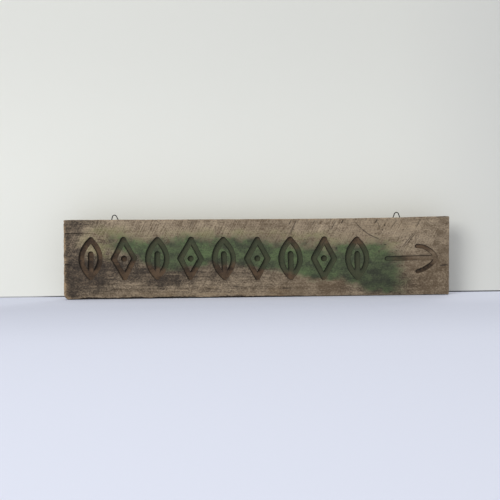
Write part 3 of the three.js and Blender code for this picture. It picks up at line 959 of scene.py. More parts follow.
    def build(self):
        """The whole plank: the front, the back and the rows of points that join them."""
        front, front_faces, front_fields = self.front()
        back, back_faces, back_fields = self.back()
        points, fields = [front, back], [front_fields, back_fields]
        triangles = [front_faces, back_faces + len(front)]
        front_border, back_border = self.border(2), self.border(1)
        start, end = front[front_border], back[back_border]
        s, t = front_fields["s"][front_border], front_fields["t"][front_border]
        at_left, at_bottom = s < ON_BORDER, t < ON_BORDER
        outward = np.stack([
            (s > self.length - ON_BORDER).astype(float) - at_left,
            np.zeros(len(s)),
            (t > self.height - ON_BORDER).astype(float) - at_bottom,
        ], axis=1)
        around = np.arange(len(s), dtype=float)
        rings = [front_border]
        for row in range(1, self.EDGE_ROWS):
            share = row / self.EDGE_ROWS
            rough = self.bumps(1, around / self.ROUGH_RUN, row * self.ROUGH_STEP)
            amount = np.where(at_left, self.ROUGH_LEFT, self.ROUGH_EDGE) * rough
            amount = amount * math.sin(math.pi * share)
            ring = start * (1 - share) + end * share
            # Behind its lifted front edge the underside soon comes down to the ground
            left_over = (1 - share) ** self.UNDERSIDE_POWER
            ring[at_bottom, 2] = (start * left_over + end * (1 - left_over))[at_bottom, 2]
            rings.append(sum(len(p) for p in points) + np.arange(len(ring)))
            points.append(ring - outward * amount[:, None])
            fields.append({**self.UNCARVED, "edge": 0.0, "s": s, "t": t, "back": 0.5})
        rings.append(back_border + len(front))
        for near, far in zip(rings[:-1], rings[1:]):
            near_next, far_next = np.roll(near, -1), np.roll(far, -1)
            triangles.append(np.stack([near, far, far_next], axis=1))
            triangles.append(np.stack([near, far_next, near_next], axis=1))
        used, faces = np.unique(np.vstack(triangles), return_inverse=True)
        joined = {}
        for name in front_fields:
            parts = [np.broadcast_to(own[name], len(p)) for p, own in zip(points, fields)]
            joined[name] = np.concatenate(parts)[used]
        return np.vstack(points)[used], faces.reshape(-1, 3), joined


def along_table(table, s):
    """A table's values at places along the plank."""
    places = np.array(table, float)
    return np.interp(s, places[:, 0], places[:, 1])


def blobs(kind, s, z):
    """The share, from 0 to 1, that a kind of soft oval patches covers."""
    clear = np.ones(len(s))
    for *patch, strength in PATCHES[kind]:
        clear *= 1 - strength * (1 - smoothstep(*BLOB_FADE, oval(s, z, *patch)))
    return 1 - clear


def spray_fields(s, z, warp_s, warp_z, blot, cloud):
    """The green band, its darker clouds and its thin yellow-green fringe."""
    top, bottom = along_table(SPRAY_TOP, s), along_table(SPRAY_BOTTOM, s)
    low_side, top_side = warp_z - bottom, top - warp_z
    band = smoothstep(*SPRAY_TOP_FADE, top_side) * smoothstep(*SPRAY_BOTTOM_FADE, low_side)
    fade_out = smoothstep(*SPRAY_ENDS, warp_s + SPRAY_SLANT * (warp_z - SPRAY_MIDDLE))
    ends = smoothstep(*SPRAY_STARTS, warp_s) * (1 - fade_out)
    spray = np.clip(band * ends * (0.9 + 0.3 * cloud.layered(s / 30, z / 18)), 0, 1)
    clouds = smoothstep(0.05, 0.5, blot.layered(s / 34 + 3, z / 26 + 5))
    clouds = np.maximum(clouds, blobs("thick spray", warp_s, warp_z))
    fringe = smoothstep(*FRINGE_FADE_IN, top + FRINGE_RISE - warp_z)
    fringe = fringe * (1 - smoothstep(*FRINGE_FADE_OUT, top_side))
    fringe = fringe * smoothstep(*FRINGE_STARTS, warp_s) * (1 - smoothstep(*FRINGE_ENDS, warp_s))
    fringe = fringe * np.clip(0.35 + 0.7 * blot.layered(s / 60 + 5, z / 40), 0, 1)
    return spray, clouds, np.maximum(fringe, blobs("overspray", warp_s, warp_z))


def groove_fields(fields, s, z, fleck):
    """The paint in the grooves, a painted shade along their steep edges, and the arrow's darker
    lower barb.
    """
    inside = -fields["rim"]
    in_groove = smoothstep(*PAINT_COMES_UP, inside)
    shade_width = SHADE_WIDTH + WIDER_SHADE * fields["upper_left"]
    past_shade = smoothstep(*(share * shade_width for share in SHADE_FADE_SHARES), inside)
    rim = smoothstep(*SHADE_COMES_UP, inside) * (1 - past_shade)
    rim = rim * (SHADE_STRENGTH + DARKER_SHADE * fields["upper_left"])
    barb_darkening = blobs("darker barb", s, z) * (0.9 + 0.5 * over(FLECK_RUNS, fleck.layered, s, z))
    rim = np.clip(np.maximum(rim, barb_darkening * in_groove), 0, 1)
    return in_groove, rim


def worn_field(fields, s, z, noises, underside):
    """Bare wood: the frayed left end, the lower left corner and the knocked edges."""
    blot, cloud, fleck = noises
    low_down = 1 - smoothstep(*LOW_DOWN, z)
    frayed = FRAYED_REACH + LOW_REACH * low_down
    frayed = frayed + LONG_TEAR * over(LONG_TEAR_RUNS, fleck.layered, z, s)
    frayed = frayed + SHORT_TEAR * over(SHORT_TEAR_RUNS, cloud, z, s)
    left_edge = np.exp(-np.maximum(s - frayed, 0) / (FRAYED_FADE + LOW_FADE * low_down))
    from_corner = np.hypot(CORNER_ALONG_SHARE * s, z)
    from_corner = from_corner + CORNER_TEAR * over(FLECK_RUNS, fleck.layered, s, z)
    lower_corner = CORNER_STRENGTH * (1 - smoothstep(*CORNER_FADE, from_corner))
    left_edge = np.where(fields["back"] < BEHIND, np.maximum(left_edge, lower_corner), 0)
    uneven = blot.layered(s / KNOCK_RUN, z / KNOCK_RUN + KNOCK_ROW)
    knocked = np.exp(-fields["edge"] / KNOCK_FADE) * (KNOCK_STRENGTH + KNOCK_WANDER * uneven)
    return np.where(underside, 0, np.clip(np.maximum(left_edge, knocked), 0, 1))


def wandered(value, waves, noises, s, z):
    """A place along or up the face, moved by some waves of noise."""
    for name, height, (run_s, run_z), (start_s, start_z) in waves:
        moved = noises[name].layered(s / run_s + start_s, z / run_z + start_z)
        value = value + height * moved
    return value


def paint_fields(points, fields):
    """Where each finish lies: shares from 0 to 1 at the surface's points."""
    s, z = points[:, 0] - LEFT / MM, points[:, 2]
    noises = {"blot": FaceNoise(41), "cloud": FaceNoise(42), "fleck": FaceNoise(43)}
    blot, cloud, fleck = noises.values()
    warp_z = wandered(z, WANDER_UP, noises, s, z)
    warp_s = wandered(s, WANDER_ALONG, noises, s, z)
    front, not_behind = fields["back"] < IN_FRONT, fields["back"] < BEHIND
    on_border = fields["edge"] < ON_BORDER
    underside = on_border & (fields["t"] < ON_BORDER)
    at_ends = (fields["s"] < ON_BORDER) | (fields["s"] > LENGTH / MM - ON_BORDER)
    spray, clouds, fringe = spray_fields(s, z, warp_s, warp_z, blot, cloud)
    groove, groove_rim = groove_fields(fields, s, z, fleck)
    groove = groove * (1 - blobs("faded groove", s, z) * (1 - groove_rim))
    stain = blobs("grime", warp_s, warp_z)
    ochre = (1 - smoothstep(*OCHRE_HEIGHT, warp_z)) * smoothstep(*OCHRE_STARTS, s)
    ochre = ochre * (1 - smoothstep(*OCHRE_ENDS, s))
    ochre = ochre * np.clip(0.5 + 0.9 * cloud.layered(s / 45, z / 5), 0, 1)
    pale_top = smoothstep(*PALE_STARTS, s) * (1 - smoothstep(*PALE_ENDS, s))
    pale_top = pale_top * smoothstep(*PALE_HEIGHT, warp_z)
    return {
        "spray": np.where(front, spray, 0.25 * spray * not_behind),
        "spray_clouds": np.where(front, clouds, 0),
        "fringe": np.where(front, fringe, 0),
        # The underside is painted fully dark: a painted shade in the gap under the lifted front
        # edge
        "stain": np.clip(np.where(front, stain, 0.35 * stain) + underside, 0, 1),
        "browned": np.where(front, blobs("browned", warp_s, warp_z), 0),
        "ochre": np.clip(np.maximum(ochre, 0.35 * pale_top), 0, 1),
        "groove": np.where(front, groove, 0),
        "groove_rim": np.where(front, groove_rim, 0),
        "worn": worn_field(fields, s, z, (blot, cloud, fleck), underside),
        "scraped": np.clip(fields["marks"] / SCRAPED_DEPTH, 0, 1),
        "end_grain": (on_border & at_ends).astype(float),
        "bare_back": np.clip(fields["back"] * 2 - 1, 0, 1),
    }


# Node trees and materials

class NodeTree:
    """A node tree, written a node at a time."""

    PREFIX = "ShaderNode"

    def __init__(self, tree):
        self.tree = tree
        self.tree.nodes.clear()

    def add(self, kind, *values, settings=None, **inputs):
        """A new node, with its first inputs in order and others by name, _ for a space."""
        node = self.tree.nodes.new(self.PREFIX + kind)
        for name, value in (settings or {}).items():
            setattr(node, name, value)
        for socket, value in zip(node.inputs, values):
            self.feed(socket, value)
        for name, value in inputs.items():
            self.feed(node.inputs[name.replace("_", " ")], value)
        return node

    def feed(self, socket, value):
        """Gives an input another node's output or a value of its own."""
        if isinstance(value, bpy.types.NodeSocket):
            self.tree.links.new(value, socket)
        else:
            socket.default_value = value

    def calculate(self, operation, *values, clamp=False):
        """A sum, a product or the like of some values."""
        settings = {"operation": operation, "use_clamp": clamp}
        return self.add("Math", *values, settings=settings).outputs[0]


class Recipe(NodeTree):
    """A material's node tree. A colour may go by its setting's name."""

    def __init__(self, name, colours, one_sided=False):
        self.material = bpy.data.materials.new(name)
        self.material.use_nodes = True
        super().__init__(self.material.node_tree)
        self.colours = colours
        self.one_sided = one_sided
        self.object_space = self.add("TexCoord").outputs["Object"]

    def feed(self, socket, value):
        if isinstance(value, str):
            value = linear(getattr(self.colours, value))
        super().feed(socket, value)

    def field(self, name):
        """One of the shares that the plank's points carry."""
        settings = {"attribute_type": "GEOMETRY", "attribute_name": name}
        return self.add("Attribute", settings=settings).outputs["Fac"]

    def along(self, axis):
        """The object coordinate along one axis."""
        return self.add("SeparateXYZ", Vector=self.object_space).outputs[axis]

    def mapped(self, stretch, turn=0.0, place=(0.0, 0.0, 0.0)):
        """Object coordinates, moved, turned about Y and stretched."""
        rotation = (0.0, math.radians(turn), 0.0)
        moved = self.add("Mapping", Vector=self.object_space, Rotation=rotation, Location=place)
        return self.add("Mapping", Vector=moved.outputs["Vector"], Scale=stretch).outputs["Vector"]

    def noise(self, stretch, turn=0.0, place=(0.0, 0.0, 0.0), **inputs):
        """Noise over mapped object coordinates."""
        vector = self.mapped(stretch, turn, place)
        values = {"Scale": 1.0, "Detail": 3.0, "Roughness": 0.55, "Distortion": 0.0, **inputs}
        return self.add("TexNoise", Vector=vector, **values).outputs["Fac"]

    def times(self, first, second):
        return self.calculate("MULTIPLY", first, second)

    def plus(self, first, second, clamp=False):
        return self.calculate("ADD", first, second, clamp=clamp)

    def minus(self, first, second):
        return self.calculate("SUBTRACT", first, second)

    def weighed(self, *shares):
        """The sum of some values, each times its own weight."""
        total = 0.0
        for value, weight in shares:
            total = self.calculate("MULTIPLY_ADD", value, weight, total)
        return total

    def spread(self, value, low, high):
        """A value's stretch from low to high, as a share from 0 to 1."""
        settings = {"interpolation_type": "SMOOTHSTEP"}
        return self.add("MapRange", value, low, high, settings=settings).outputs["Result"]

    def blend(self, share, first, second):
        """One colour going over into another by a share."""
        node = self.add("Mix", settings={"data_type": "RGBA"})
        for number, value in ((0, share), (6, first), (7, second)):
            self.feed(node.inputs[number], value)
        return node.outputs[2]

    def lay(self, under, colour, share, weight):
        """A colour laid over another by a share times its weight."""
        return self.blend(self.times(share, weight), under, colour)

    def finish(self, colour, roughness, bump=None, bump_distance=0.0, metallic=0.0):
        """Ends the tree with its surface, and returns the material."""
        shader = self.add(
            "BsdfPrincipled", Base_Color=colour, Roughness=roughness, Metallic=metallic,
        )
        if bump is not None:
            node = self.add("Bump", Height=bump, Distance=bump_distance, Strength=1.0)
            self.feed(shader.inputs["Normal"], node.outputs["Normal"])
        surface = shader.outputs["BSDF"]
        if self.one_sided:
            behind = self.add("NewGeometry").outputs["Backfacing"]
            clear = self.add("BsdfTransparent").outputs["BSDF"]
            surface = self.add("MixShader", behind, surface, clear).outputs["Shader"]
        self.add("OutputMaterial", Surface=surface)
        return self.material


def end_grain(r, mottle, grit):
    """Annual rings as the sawn ends show them, broken up by dirt."""
    rings = r.add(
        "TexWave", r.mapped((60.0, 90.0, 90.0), place=(0, -0.06, 0.05)),
        settings={"wave_type": "RINGS", "rings_direction": "X"},
        Scale=0.95, Distortion=7.0, Detail=4.0, Detail_Scale=1.6,
    )
    tone = r.weighed((rings.outputs["Fac"], 0.17), (mottle, 0.45), (grit, 0.38))
    return r.blend(r.spread(tone, 0.34, 0.64), "wood_dark", "wood_middle")


def weathered_plank(colours):
    """Grey-brown sawn wood, stained and knocked, with the green spray, the grooves' paint, and
    painted shade along the grooves and on the underside.
    """
    r = Recipe("weathered plank", colours)
    # The grain along the plank, the marks of the saw across it, and dirt from coarse to fine
    grain = r.noise((7.0, 60.0, 190.0), Detail=5.0, Roughness=0.6, Distortion=0.25)
    fine_grain = r.noise((26.0, 300.0, 900.0), Roughness=0.6)
    saw = r.noise((420.0, 60.0, 15.0), turn=-28.0, Roughness=0.62)
    saw_wide = r.noise((190.0, 60.0, 13.0), turn=-26.0, place=(0.3, 0, 0.1), Detail=2.0)
    cross = r.noise((430.0, 60.0, 30.0), turn=32.0, place=(0.7, 0, 0.2), Detail=2.0)
    scored = r.noise((520.0, 60.0, 20.0), turn=-27.0, place=(0.9, 0, 0.4), Detail=1.0)
    mottle = r.noise((0.7, 1.0, 1.2), Scale=48.0, Detail=6.0, Roughness=0.66)
    grit = r.noise((0.8, 1.0, 1.2), place=(0.1, 0, 0.6), Scale=240.0, Detail=4.0, Roughness=0.7)
    broad = r.noise((1.0, 1.0, 1.6), place=(0.2, 0, 0.5), Scale=9.0)
    speck = r.noise((0.8, 1.0, 1.0), place=(0.6, 0, 0.3), Scale=330.0, Detail=2.0, Roughness=0.6)
    patches = r.spread(r.noise((7.0, 7.0, 9.0), place=(1.4, 0, 0)), 0.42, 0.62)
    high = r.spread(r.along("Z"), 0.04, 0.15)

    # Bare wood, with the saw's marks clearest in patches and high on the face
    streaky = r.weighed((patches, 0.75), (high, 0.6))
    saw_marks = r.times(r.minus(saw, 0.5), streaky)
    long_grain = r.times(r.minus(grain, 0.5), r.minus(1.7, high))
    tone = r.weighed(
        (long_grain, 0.16), (saw_marks, 0.27), (mottle, 0.30), (grit, 0.32), (0.5, 0.38),
    )
    wood = r.blend(r.spread(tone, 0.40, 0.515), "wood_dark", "wood_middle")
    wood = r.blend(r.spread(tone, 0.485, 0.62), wood, "wood_light")
    wood = r.lay(wood, "wood_dark", r.times(r.spread(scored, 0.60, 0.72), streaky), 0.32)
    wood = r.lay(wood, "wood_light", r.times(r.spread(saw_wide, 0.54, 0.70), patches), 0.4)
    cuts = r.times(r.spread(cross, 0.64, 0.74), 0.25)
    wood = r.blend(cuts, wood, "wood_dark")
    pits = r.spread(speck, 0.63, 0.72)
    wood = r.lay(wood, "stain", pits, 0.7)
    wood = r.lay(wood, "wood_dark", r.spread(broad, 0.4, 0.7), 0.2)

    # Smoothly darker places and the bare back, then ochre, damp and soot
    uneven = r.spread(r.weighed((mottle, 0.5), (grit, 0.5)), 0.60, 0.40)
    browned = r.weighed((uneven, 0.7), (0.5, 1.14))
    wood = r.lay(wood, "wood_dark", r.field("browned"), browned)
    back = r.blend(r.spread(tone, 0.40, 0.60), "wood_dark", "back_wood")
    wood = r.blend(r.field("bare_back"), wood, back)
    wood = r.lay(wood, "ochre", r.times(r.field("ochre"), r.spread(grain, 0.38, 0.62)), 0.6)
    # The stain also carries the underside's painted shade
    stain = r.field("stain")
    dirt_and_shade = r.plus(stain, r.times(r.minus(0.5, tone), 2.6))
    dirt_and_shade = r.times(r.spread(dirt_and_shade, 0.0, 1.0), r.spread(stain, 0.0, 0.15))
    scuffed = r.spread(r.weighed((grit, 0.55), (mottle, 0.45)), 0.44, 0.62)
    wood = r.lay(wood, r.blend(scuffed, "stain", "soot_brown"), dirt_and_shade, 0.92)

    # The spray, with its fringe under it
    fringe = r.times(r.field("fringe"), r.spread(mottle, 0.35, 0.6))
    painted = r.lay(wood, "spray_fringe", fringe, 0.6)
    thick = r.spread(r.weighed((mottle, 0.5), (grit, 0.3), (broad, 0.2)), 0.41, 0.60)
    green = r.blend(thick, "spray_dark", "spray")
    green = r.lay(green, "spray_dark", r.field("spray_clouds"), 0.5)
    green = r.lay(green, "stain", stain, 0.6)
    spray = r.field("spray")
    cover = r.plus(spray, r.times(r.minus(tone, 0.5), 1.6))
    cover = r.times(r.spread(cover, 0.1, 0.8), 0.9)
    painted = r.blend(cover, painted, green)

    # The old paint in the grooves, with a painted shade along their steep edges
    groove = r.blend(r.spread(mottle, 0.38, 0.6), "groove_dark", "groove")
    groove = r.lay(groove, "groove_green", r.spread(spray, 0.15, 0.8), 0.85)
    groove = r.lay(groove, "stain", stain, 0.15)
    # Painted shade along the grooves' steep edges
    groove = r.lay(groove, "groove_rim", r.field("groove_rim"), 0.92)
    in_groove = r.field("groove")
    painted = r.blend(in_groove, painted, groove)

    # Scratches, knocked edges and the sawn ends
    painted = r.lay(painted, "stain", r.field("scraped"), 0.75)
    bare = r.times(r.field("worn"), r.spread(tone, 0.36, 0.50))
    painted = r.lay(painted, "worn", bare, 0.85)
    painted = r.lay(painted, end_grain(r, mottle, grit), r.field("end_grain"), 0.8)

    relief = r.weighed(
        (saw, 0.45), (grain, 0.25), (fine_grain, 0.15), (grit, 0.4), (cuts, -0.5), (pits, -0.5),
    )
    relief = r.times(relief, r.minus(1.0, r.times(in_groove, 0.75)))
    rough = r.minus(0.95, r.times(cover, 0.12))
    return r.finish(painted, rough, bump=relief, bump_distance=0.0011)


def aged_steel(name, colours, base, roughness, rust_share):
    """Dull steel with finger marks and specks of rust."""
    r = Recipe(name, colours)
    even = (1.0, 1.0, 1.0)
    smear = r.noise(even, Scale=260.0, Detail=4.0)
    spots = r.noise(even, place=(0.3, 0.1, 0.2), Scale=520.0, Detail=5.0, Roughness=0.7)
    brushed = r.noise((2400.0, 700.0, 260.0), Detail=2.0)
    darker = (*(0.55 * c for c in linear(getattr(colours, base))[:3]), 1.0)
    steel = r.blend(r.spread(smear, 0.35, 0.68), darker, base)
    rusty = r.spread(spots, 0.62 - rust_share, 0.72 - rust_share)
    worn = r.plus(roughness, r.times(r.minus(smear, 0.5), 0.3))
    rough = r.plus(worn, r.times(rusty, 0.35), clamp=True)
    relief = r.plus(r.times(brushed, 0.3), r.times(rusty, 0.7))
    colour = r.blend(rusty, steel, "rust")
    return r.finish(colour, rough, bump=relief, bump_distance=0.00006, metallic=0.85)


def pale_floor(stage):
    """A pale floor, with a soft painted shadow a step in front of the sign."""
    r = Recipe("pale floor", stage)
    depth = r.along("Y")
    painted_shadow = r.times(r.spread(depth, -1.05, -0.42), r.spread(depth, -0.10, -0.34))
    return r.finish(r.blend(painted_shadow, "floor", "floor_shadow"), 0.9)


def painted_wall(stage):
    """A pale wall, with painted light at its foot and painted shade at the far right; clear from
    behind.
    """
    r = Recipe("pale wall", stage, one_sided=True)
    tone = r.blend(r.spread(r.along("Z"), 0.8, 0.2), "wall", "wall_lit_foot")
    return r.finish(r.lay(tone, "wall_shaded_end", r.spread(r.along("X"), 0.3, 0.75), 0.5), 0.9)


def wall_gap(stage):
    """The gap under the wall, painted dark as its shade, and filled with pale dust at the far left;
    clear from behind.
    """
    r = Recipe("dark joint", stage, one_sided=True)
    open_gap = r.spread(r.along("X"), -0.60, -0.50)
    return r.finish(r.blend(open_gap, "joint_filled", "joint"), 0.9)


# Meshes

def new_object(name, data):
    """An object in the scene that holds some data."""
    obj = bpy.data.objects.new(name, data)
    bpy.context.scene.collection.objects.link(obj)
    return obj


def mesh_object(name, points, faces, material, edges=()):
    """A mesh object at the origin with one material."""
    mesh = bpy.data.meshes.new(name)
    mesh.from_pydata([tuple(p) for p in points], list(edges), [tuple(f) for f in faces])
    if material is not None:
        mesh.materials.append(material)
    return new_object(name, mesh)


def smooth_but_sharp(obj, degrees):
    """Smooth shading, but for the edges that bend by more than an angle."""
    mesh = obj.data
    mesh.polygons.foreach_set("use_smooth", [True] * len(mesh.polygons))
    mesh.set_sharp_from_angle(angle=math.radians(degrees))
    mesh.update()


def turn_outwards(mesh):
    """Joins points that lie on each other and turns every face outwards."""
    work = bmesh.new()
    work.from_mesh(mesh)
    bmesh.ops.remove_doubles(work, verts=work.verts, dist=TOUCHING)
    bmesh.ops.recalc_face_normals(work, faces=work.faces)
    work.to_mesh(mesh)
    work.free()


def plain_mesh(obj, name):
    """What an object's modifiers make, as a new plain object; the old one goes."""
    evaluated = obj.evaluated_get(bpy.context.evaluated_depsgraph_get())
    mesh = bpy.data.meshes.new_from_object(evaluated)
    mesh.name = name
    bpy.data.objects.remove(obj)
    return new_object(name, mesh)


class GeometryTree(NodeTree):
    """A tree of geometry nodes, with its inputs and its one output."""

    PREFIX = "GeometryNode"

    def __init__(self, name, inputs, output):
        super().__init__(bpy.data.node_groups.new(name, "GeometryNodeTree"))
        sockets = [(label, "INPUT", kind) for label, kind in inputs.items()]
        for label, way, kind in [*sockets, (output, "OUTPUT", "Geometry")]:
            self.tree.interface.new_socket(label, in_out=way, socket_type="NodeSocket" + kind)
        self.given = self.tree.nodes.new("NodeGroupInput").outputs

    def finish(self, made):
        """What is made becomes real geometry, gets its material and goes out."""
        real = self.add("RealizeInstances", made).outputs["Geometry"]
        painted = self.add("SetMaterial", real, Material=self.given["Material"])
        result = self.tree.nodes.new("NodeGroupOutput")
        self.feed(result.inputs[0], painted.outputs["Geometry"])
        return self.tree


def grown(obj, tree, name, values):
    """What a tree of geometry nodes makes of an object, as a new plain object."""
    modifier = obj.modifiers.new(tree.name, "NODES")
    modifier.node_group = tree
    for item in tree.interface.items_tree:
        if item.name in values:
            modifier[item.identifier] = values[item.name]
    return plain_mesh(obj, name)


class SIGN_OT_build_plank(bpy.types.Operator):
    """Build the sawn and carved plank"""

    bl_idname = "sign.build_plank"
    bl_label = "Plank"

    SHARP_ANGLE = 34

    def execute(self, context):
        surface = PlankSurface(context.scene.sign_plank)
        points, faces, fields = surface.build()
        material = weathered_plank(context.scene.sign_colours)
        plank = mesh_object("carved_plank", points * MM, faces, material)
        for name, values in paint_fields(points, fields).items():
            attribute = plank.data.attributes.new(name, "FLOAT", "POINT")
            attribute.data.foreach_set("value", np.ascontiguousarray(values, dtype=np.float32))
        turn_outwards(plank.data)
        smooth_but_sharp(plank, self.SHARP_ANGLE)
        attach(plank, "board")
        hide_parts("plank")
        return {"FINISHED"}


# Hangers

def joint_frame(side):
    """A hanger's own frame: its origin on the rung, +X along it and +Z up the strap."""
    joint = next(j for j in frame["joints"] if j["name"] == f"{side}_ring_swing")
    along = -Vector(joint["axis"]).normalized()
    back = Vector((0, 1, 0))
    up = along.cross(back)
    turned = Matrix((along, back, up)).transposed().to_4x4()
    return Matrix.Translation(Vector(joint["pos_m"])) @ turned


def arc(x, z, radius, start, end, steps):
    """Points on an arc about a middle, from one angle to another."""
    angles = [start + (end - start) * i / steps for i in range(steps + 1)]
    return [(x + radius * math.cos(a), z + radius * math.sin(a)) for a in angles]


def ring_path(settings):
    """The ring's middle line in its own flat frame, from one wire end to the other."""
    corner, apex = settings.corner_radius, settings.apex_radius
    corner_x = settings.ring_width / 2 - corner
    apex_z = settings.ring_height - apex
    rise = apex_z - corner
    normal = math.atan2(rise, -corner_x) - math.acos((corner - apex) / math.hypot(corner_x, rise))
    return [
        (WIRE_HALF_GAP, 0.0),
        *arc(corner_x, corner, corner, -math.pi / 2, normal, CORNER_STEPS),
        *arc(0.0, apex_z, apex, normal, math.pi - normal, APEX_STEPS),
        *arc(-corner_x, corner, corner, math.pi - normal, 1.5 * math.pi, CORNER_STEPS),
        (-WIRE_HALF_GAP, 0.0),
    ]


def wire_tree():
    """Geometry nodes that run a round wire along a path of edges."""
    inputs = {"Path": "Geometry", "Wire radius": "Float", "Sides": "Int", "Material": "Material"}
    g = GeometryTree("bent wire", inputs, "Wire")
    curve = g.add("MeshToCurve", g.given["Path"]).outputs["Curve"]
    section = g.add(
        "CurvePrimitiveCircle", Resolution=g.given["Sides"], Radius=g.given["Wire radius"],
    ).outputs["Curve"]
    wire = g.add("CurveToMesh", Curve=curve, Profile_Curve=section, Fill_Caps=True)
    return g.finish(g.add("SetShadeSmooth", wire.outputs["Mesh"]).outputs["Geometry"])


class SIGN_OT_build_rings(bpy.types.Operator):
    """Bend the two hanging rings"""

    bl_idname = "sign.build_rings"
    bl_label = "Wire rings"

    SHARP_ANGLE = 50

    def execute(self, context):
        settings = context.scene.sign_hangers
        material = aged_steel("dull ring wire", context.scene.sign_colours, "wire", 0.55, 0.02)
        tree = wire_tree()
        values = {
            "Wire radius": settings.wire_radius, "Sides": settings.wire_sides, "Material": material,
        }
        for side in ("left", "right"):
            place = joint_frame(side)
            lean = self.rest_lean(side, place, settings)
            points = [
                place @ Vector((x, -z * math.sin(lean), z * math.cos(lean)))
                for x, z in ring_path(settings)
            ]
            edges = [(i, i + 1) for i in range(len(points) - 1)]
            path = mesh_object("ring path", points, [], None, edges)
            ring = grown(path, tree, f"{side}_hanging_ring", values)
            turn_outwards(ring.data)
            smooth_but_sharp(ring, self.SHARP_ANGLE)
            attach(ring, f"{side}_ring")
            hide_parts(f"{side}_wire_ring")
        return {"FINISHED"}

    def rest_lean(self, side, place, settings):
        """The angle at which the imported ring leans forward, read from how far it reaches."""
        low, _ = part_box(f"{side}_wire_ring")
        forward = place.translation.y - low[1] - settings.wire_radius
        return math.asin(forward / settings.ring_height)


class StrapShape:
    """The sizes of one folded strap, and where a place on its flat sheet goes."""

    def __init__(self, settings):
        self.sheet, self.drop = settings.strap_sheet, settings.strap_drop
        self.half_width = settings.strap_width / 2
        bore = settings.wire_radius + FOLD_CLEARANCE
        self.middle_radius = bore + self.sheet / 2
        self.front_leaf = LEAF_SEAM + self.sheet / 2 - bore
        fold_end = -math.acos(self.front_leaf / self.middle_radius)
        self.fold_run = self.middle_radius * (math.pi - fold_end)
        self.front_top = self.middle_radius * math.sin(fold_end)
        self.length = self.drop + self.fold_run + self.drop + self.front_top
        turned = self.drop + self.fold_run + self.front_top
        drops = SCREW_DROPS.values()
        self.holes = [self.drop - d for d in drops] + [turned + d for d in drops]
        self.hole_radius = settings.screw_radius + HOLE_CLEARANCE

    def outlines(self):
        """Loops on the flat sheet: its outline with round ends, then its four holes."""
        half = self.half_width
        turn = np.linspace(0, math.pi, END_POINTS)
        low_end = [(half - half * math.sin(a), half * math.cos(a)) for a in turn]
        high_end = [(self.length - u, -v) for u, v in low_end]
        yield low_end + high_end
        for u in self.holes:
            yield arc(u, 0.0, self.hole_radius, 0, 2 * math.pi, HOLE_POINTS)[:-1]

    def folded(self, u, v, w):
        """Along, across and through the flat sheet, as a place in the hanger's frame."""
        if u <= self.drop:
            return v, -self.middle_radius - w, u - self.drop
        if u <= self.drop + self.fold_run:
            angle = math.pi - (u - self.drop) / self.middle_radius
            radius = self.middle_radius + w
            return v, radius * math.cos(angle), radius * math.sin(angle)
        return v, self.front_leaf + w, self.front_top - (u - self.drop - self.fold_run)


def flat_sheet(name, shape):
    """The strap before it is folded: a sheet with slightly rounded edges, and its holes."""
    flat = bpy.data.curves.new(name, "CURVE")
    flat.dimensions = "2D"
    flat.fill_mode = "BOTH"
    flat.extrude = shape.sheet / 2 - ROUND_EDGE
    flat.bevel_depth = ROUND_EDGE
    flat.bevel_resolution = 1
    flat.offset = -ROUND_EDGE
    for loop in shape.outlines():
        spline = flat.splines.new("POLY")
        spline.points.add(len(loop) - 1)
        for point, (u, v) in zip(spline.points, loop):
            point.co = (u, v, 0.0, 1.0)
        spline.use_cyclic_u = True
    return plain_mesh(new_object(name, flat), name)


def folded_strap(name, settings, material):
    """A flat strap with round ends and four holes, folded round the rung."""
    shape = StrapShape(settings)
    strap = flat_sheet(name, shape)
    work = bmesh.new()
    work.from_mesh(strap.data)
    bmesh.ops.remove_doubles(work, verts=work.verts, dist=TOUCHING)
    for i in range(FOLD_STEPS + 1):
        u = shape.drop + shape.fold_run * i / FOLD_STEPS
        parts = work.verts[:] + work.edges[:] + work.faces[:]
        bmesh.ops.bisect_plane(
            work, geom=parts, plane_co=(u, 0, 0), plane_no=(1, 0, 0), dist=TOUCHING,
        )
    bmesh.ops.triangulate(work, faces=[f for f in work.faces if len(f.verts) > 4])
    for vertex in work.verts:
        vertex.co = shape.folded(*vertex.co)
    bmesh.ops.recalc_face_normals(work, faces=work.faces)
    work.to_mesh(strap.data)
    work.free()
    strap.data.materials.clear()
    strap.data.materials.append(material)
    return strap


class SIGN_OT_build_straps(bpy.types.Operator):
    """Fold the two sheet-steel straps"""

    bl_idname = "sign.build_straps"
    bl_label = "Hanger straps"

    SHARP_ANGLE = 40

    def execute(self, context):
        material = aged_steel("dull strap steel", context.scene.sign_colours, "strap", 0.4, 0.04)
        for side in ("left", "right"):
            strap = folded_strap(f"{side}_folded_strap", context.scene.sign_hangers, material)
            strap.data.transform(joint_frame(side))
            smooth_but_sharp(strap, self.SHARP_ANGLE)
            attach(strap, "board")
            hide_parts(f"{side}_hanger_strap")
        return {"FINISHED"}


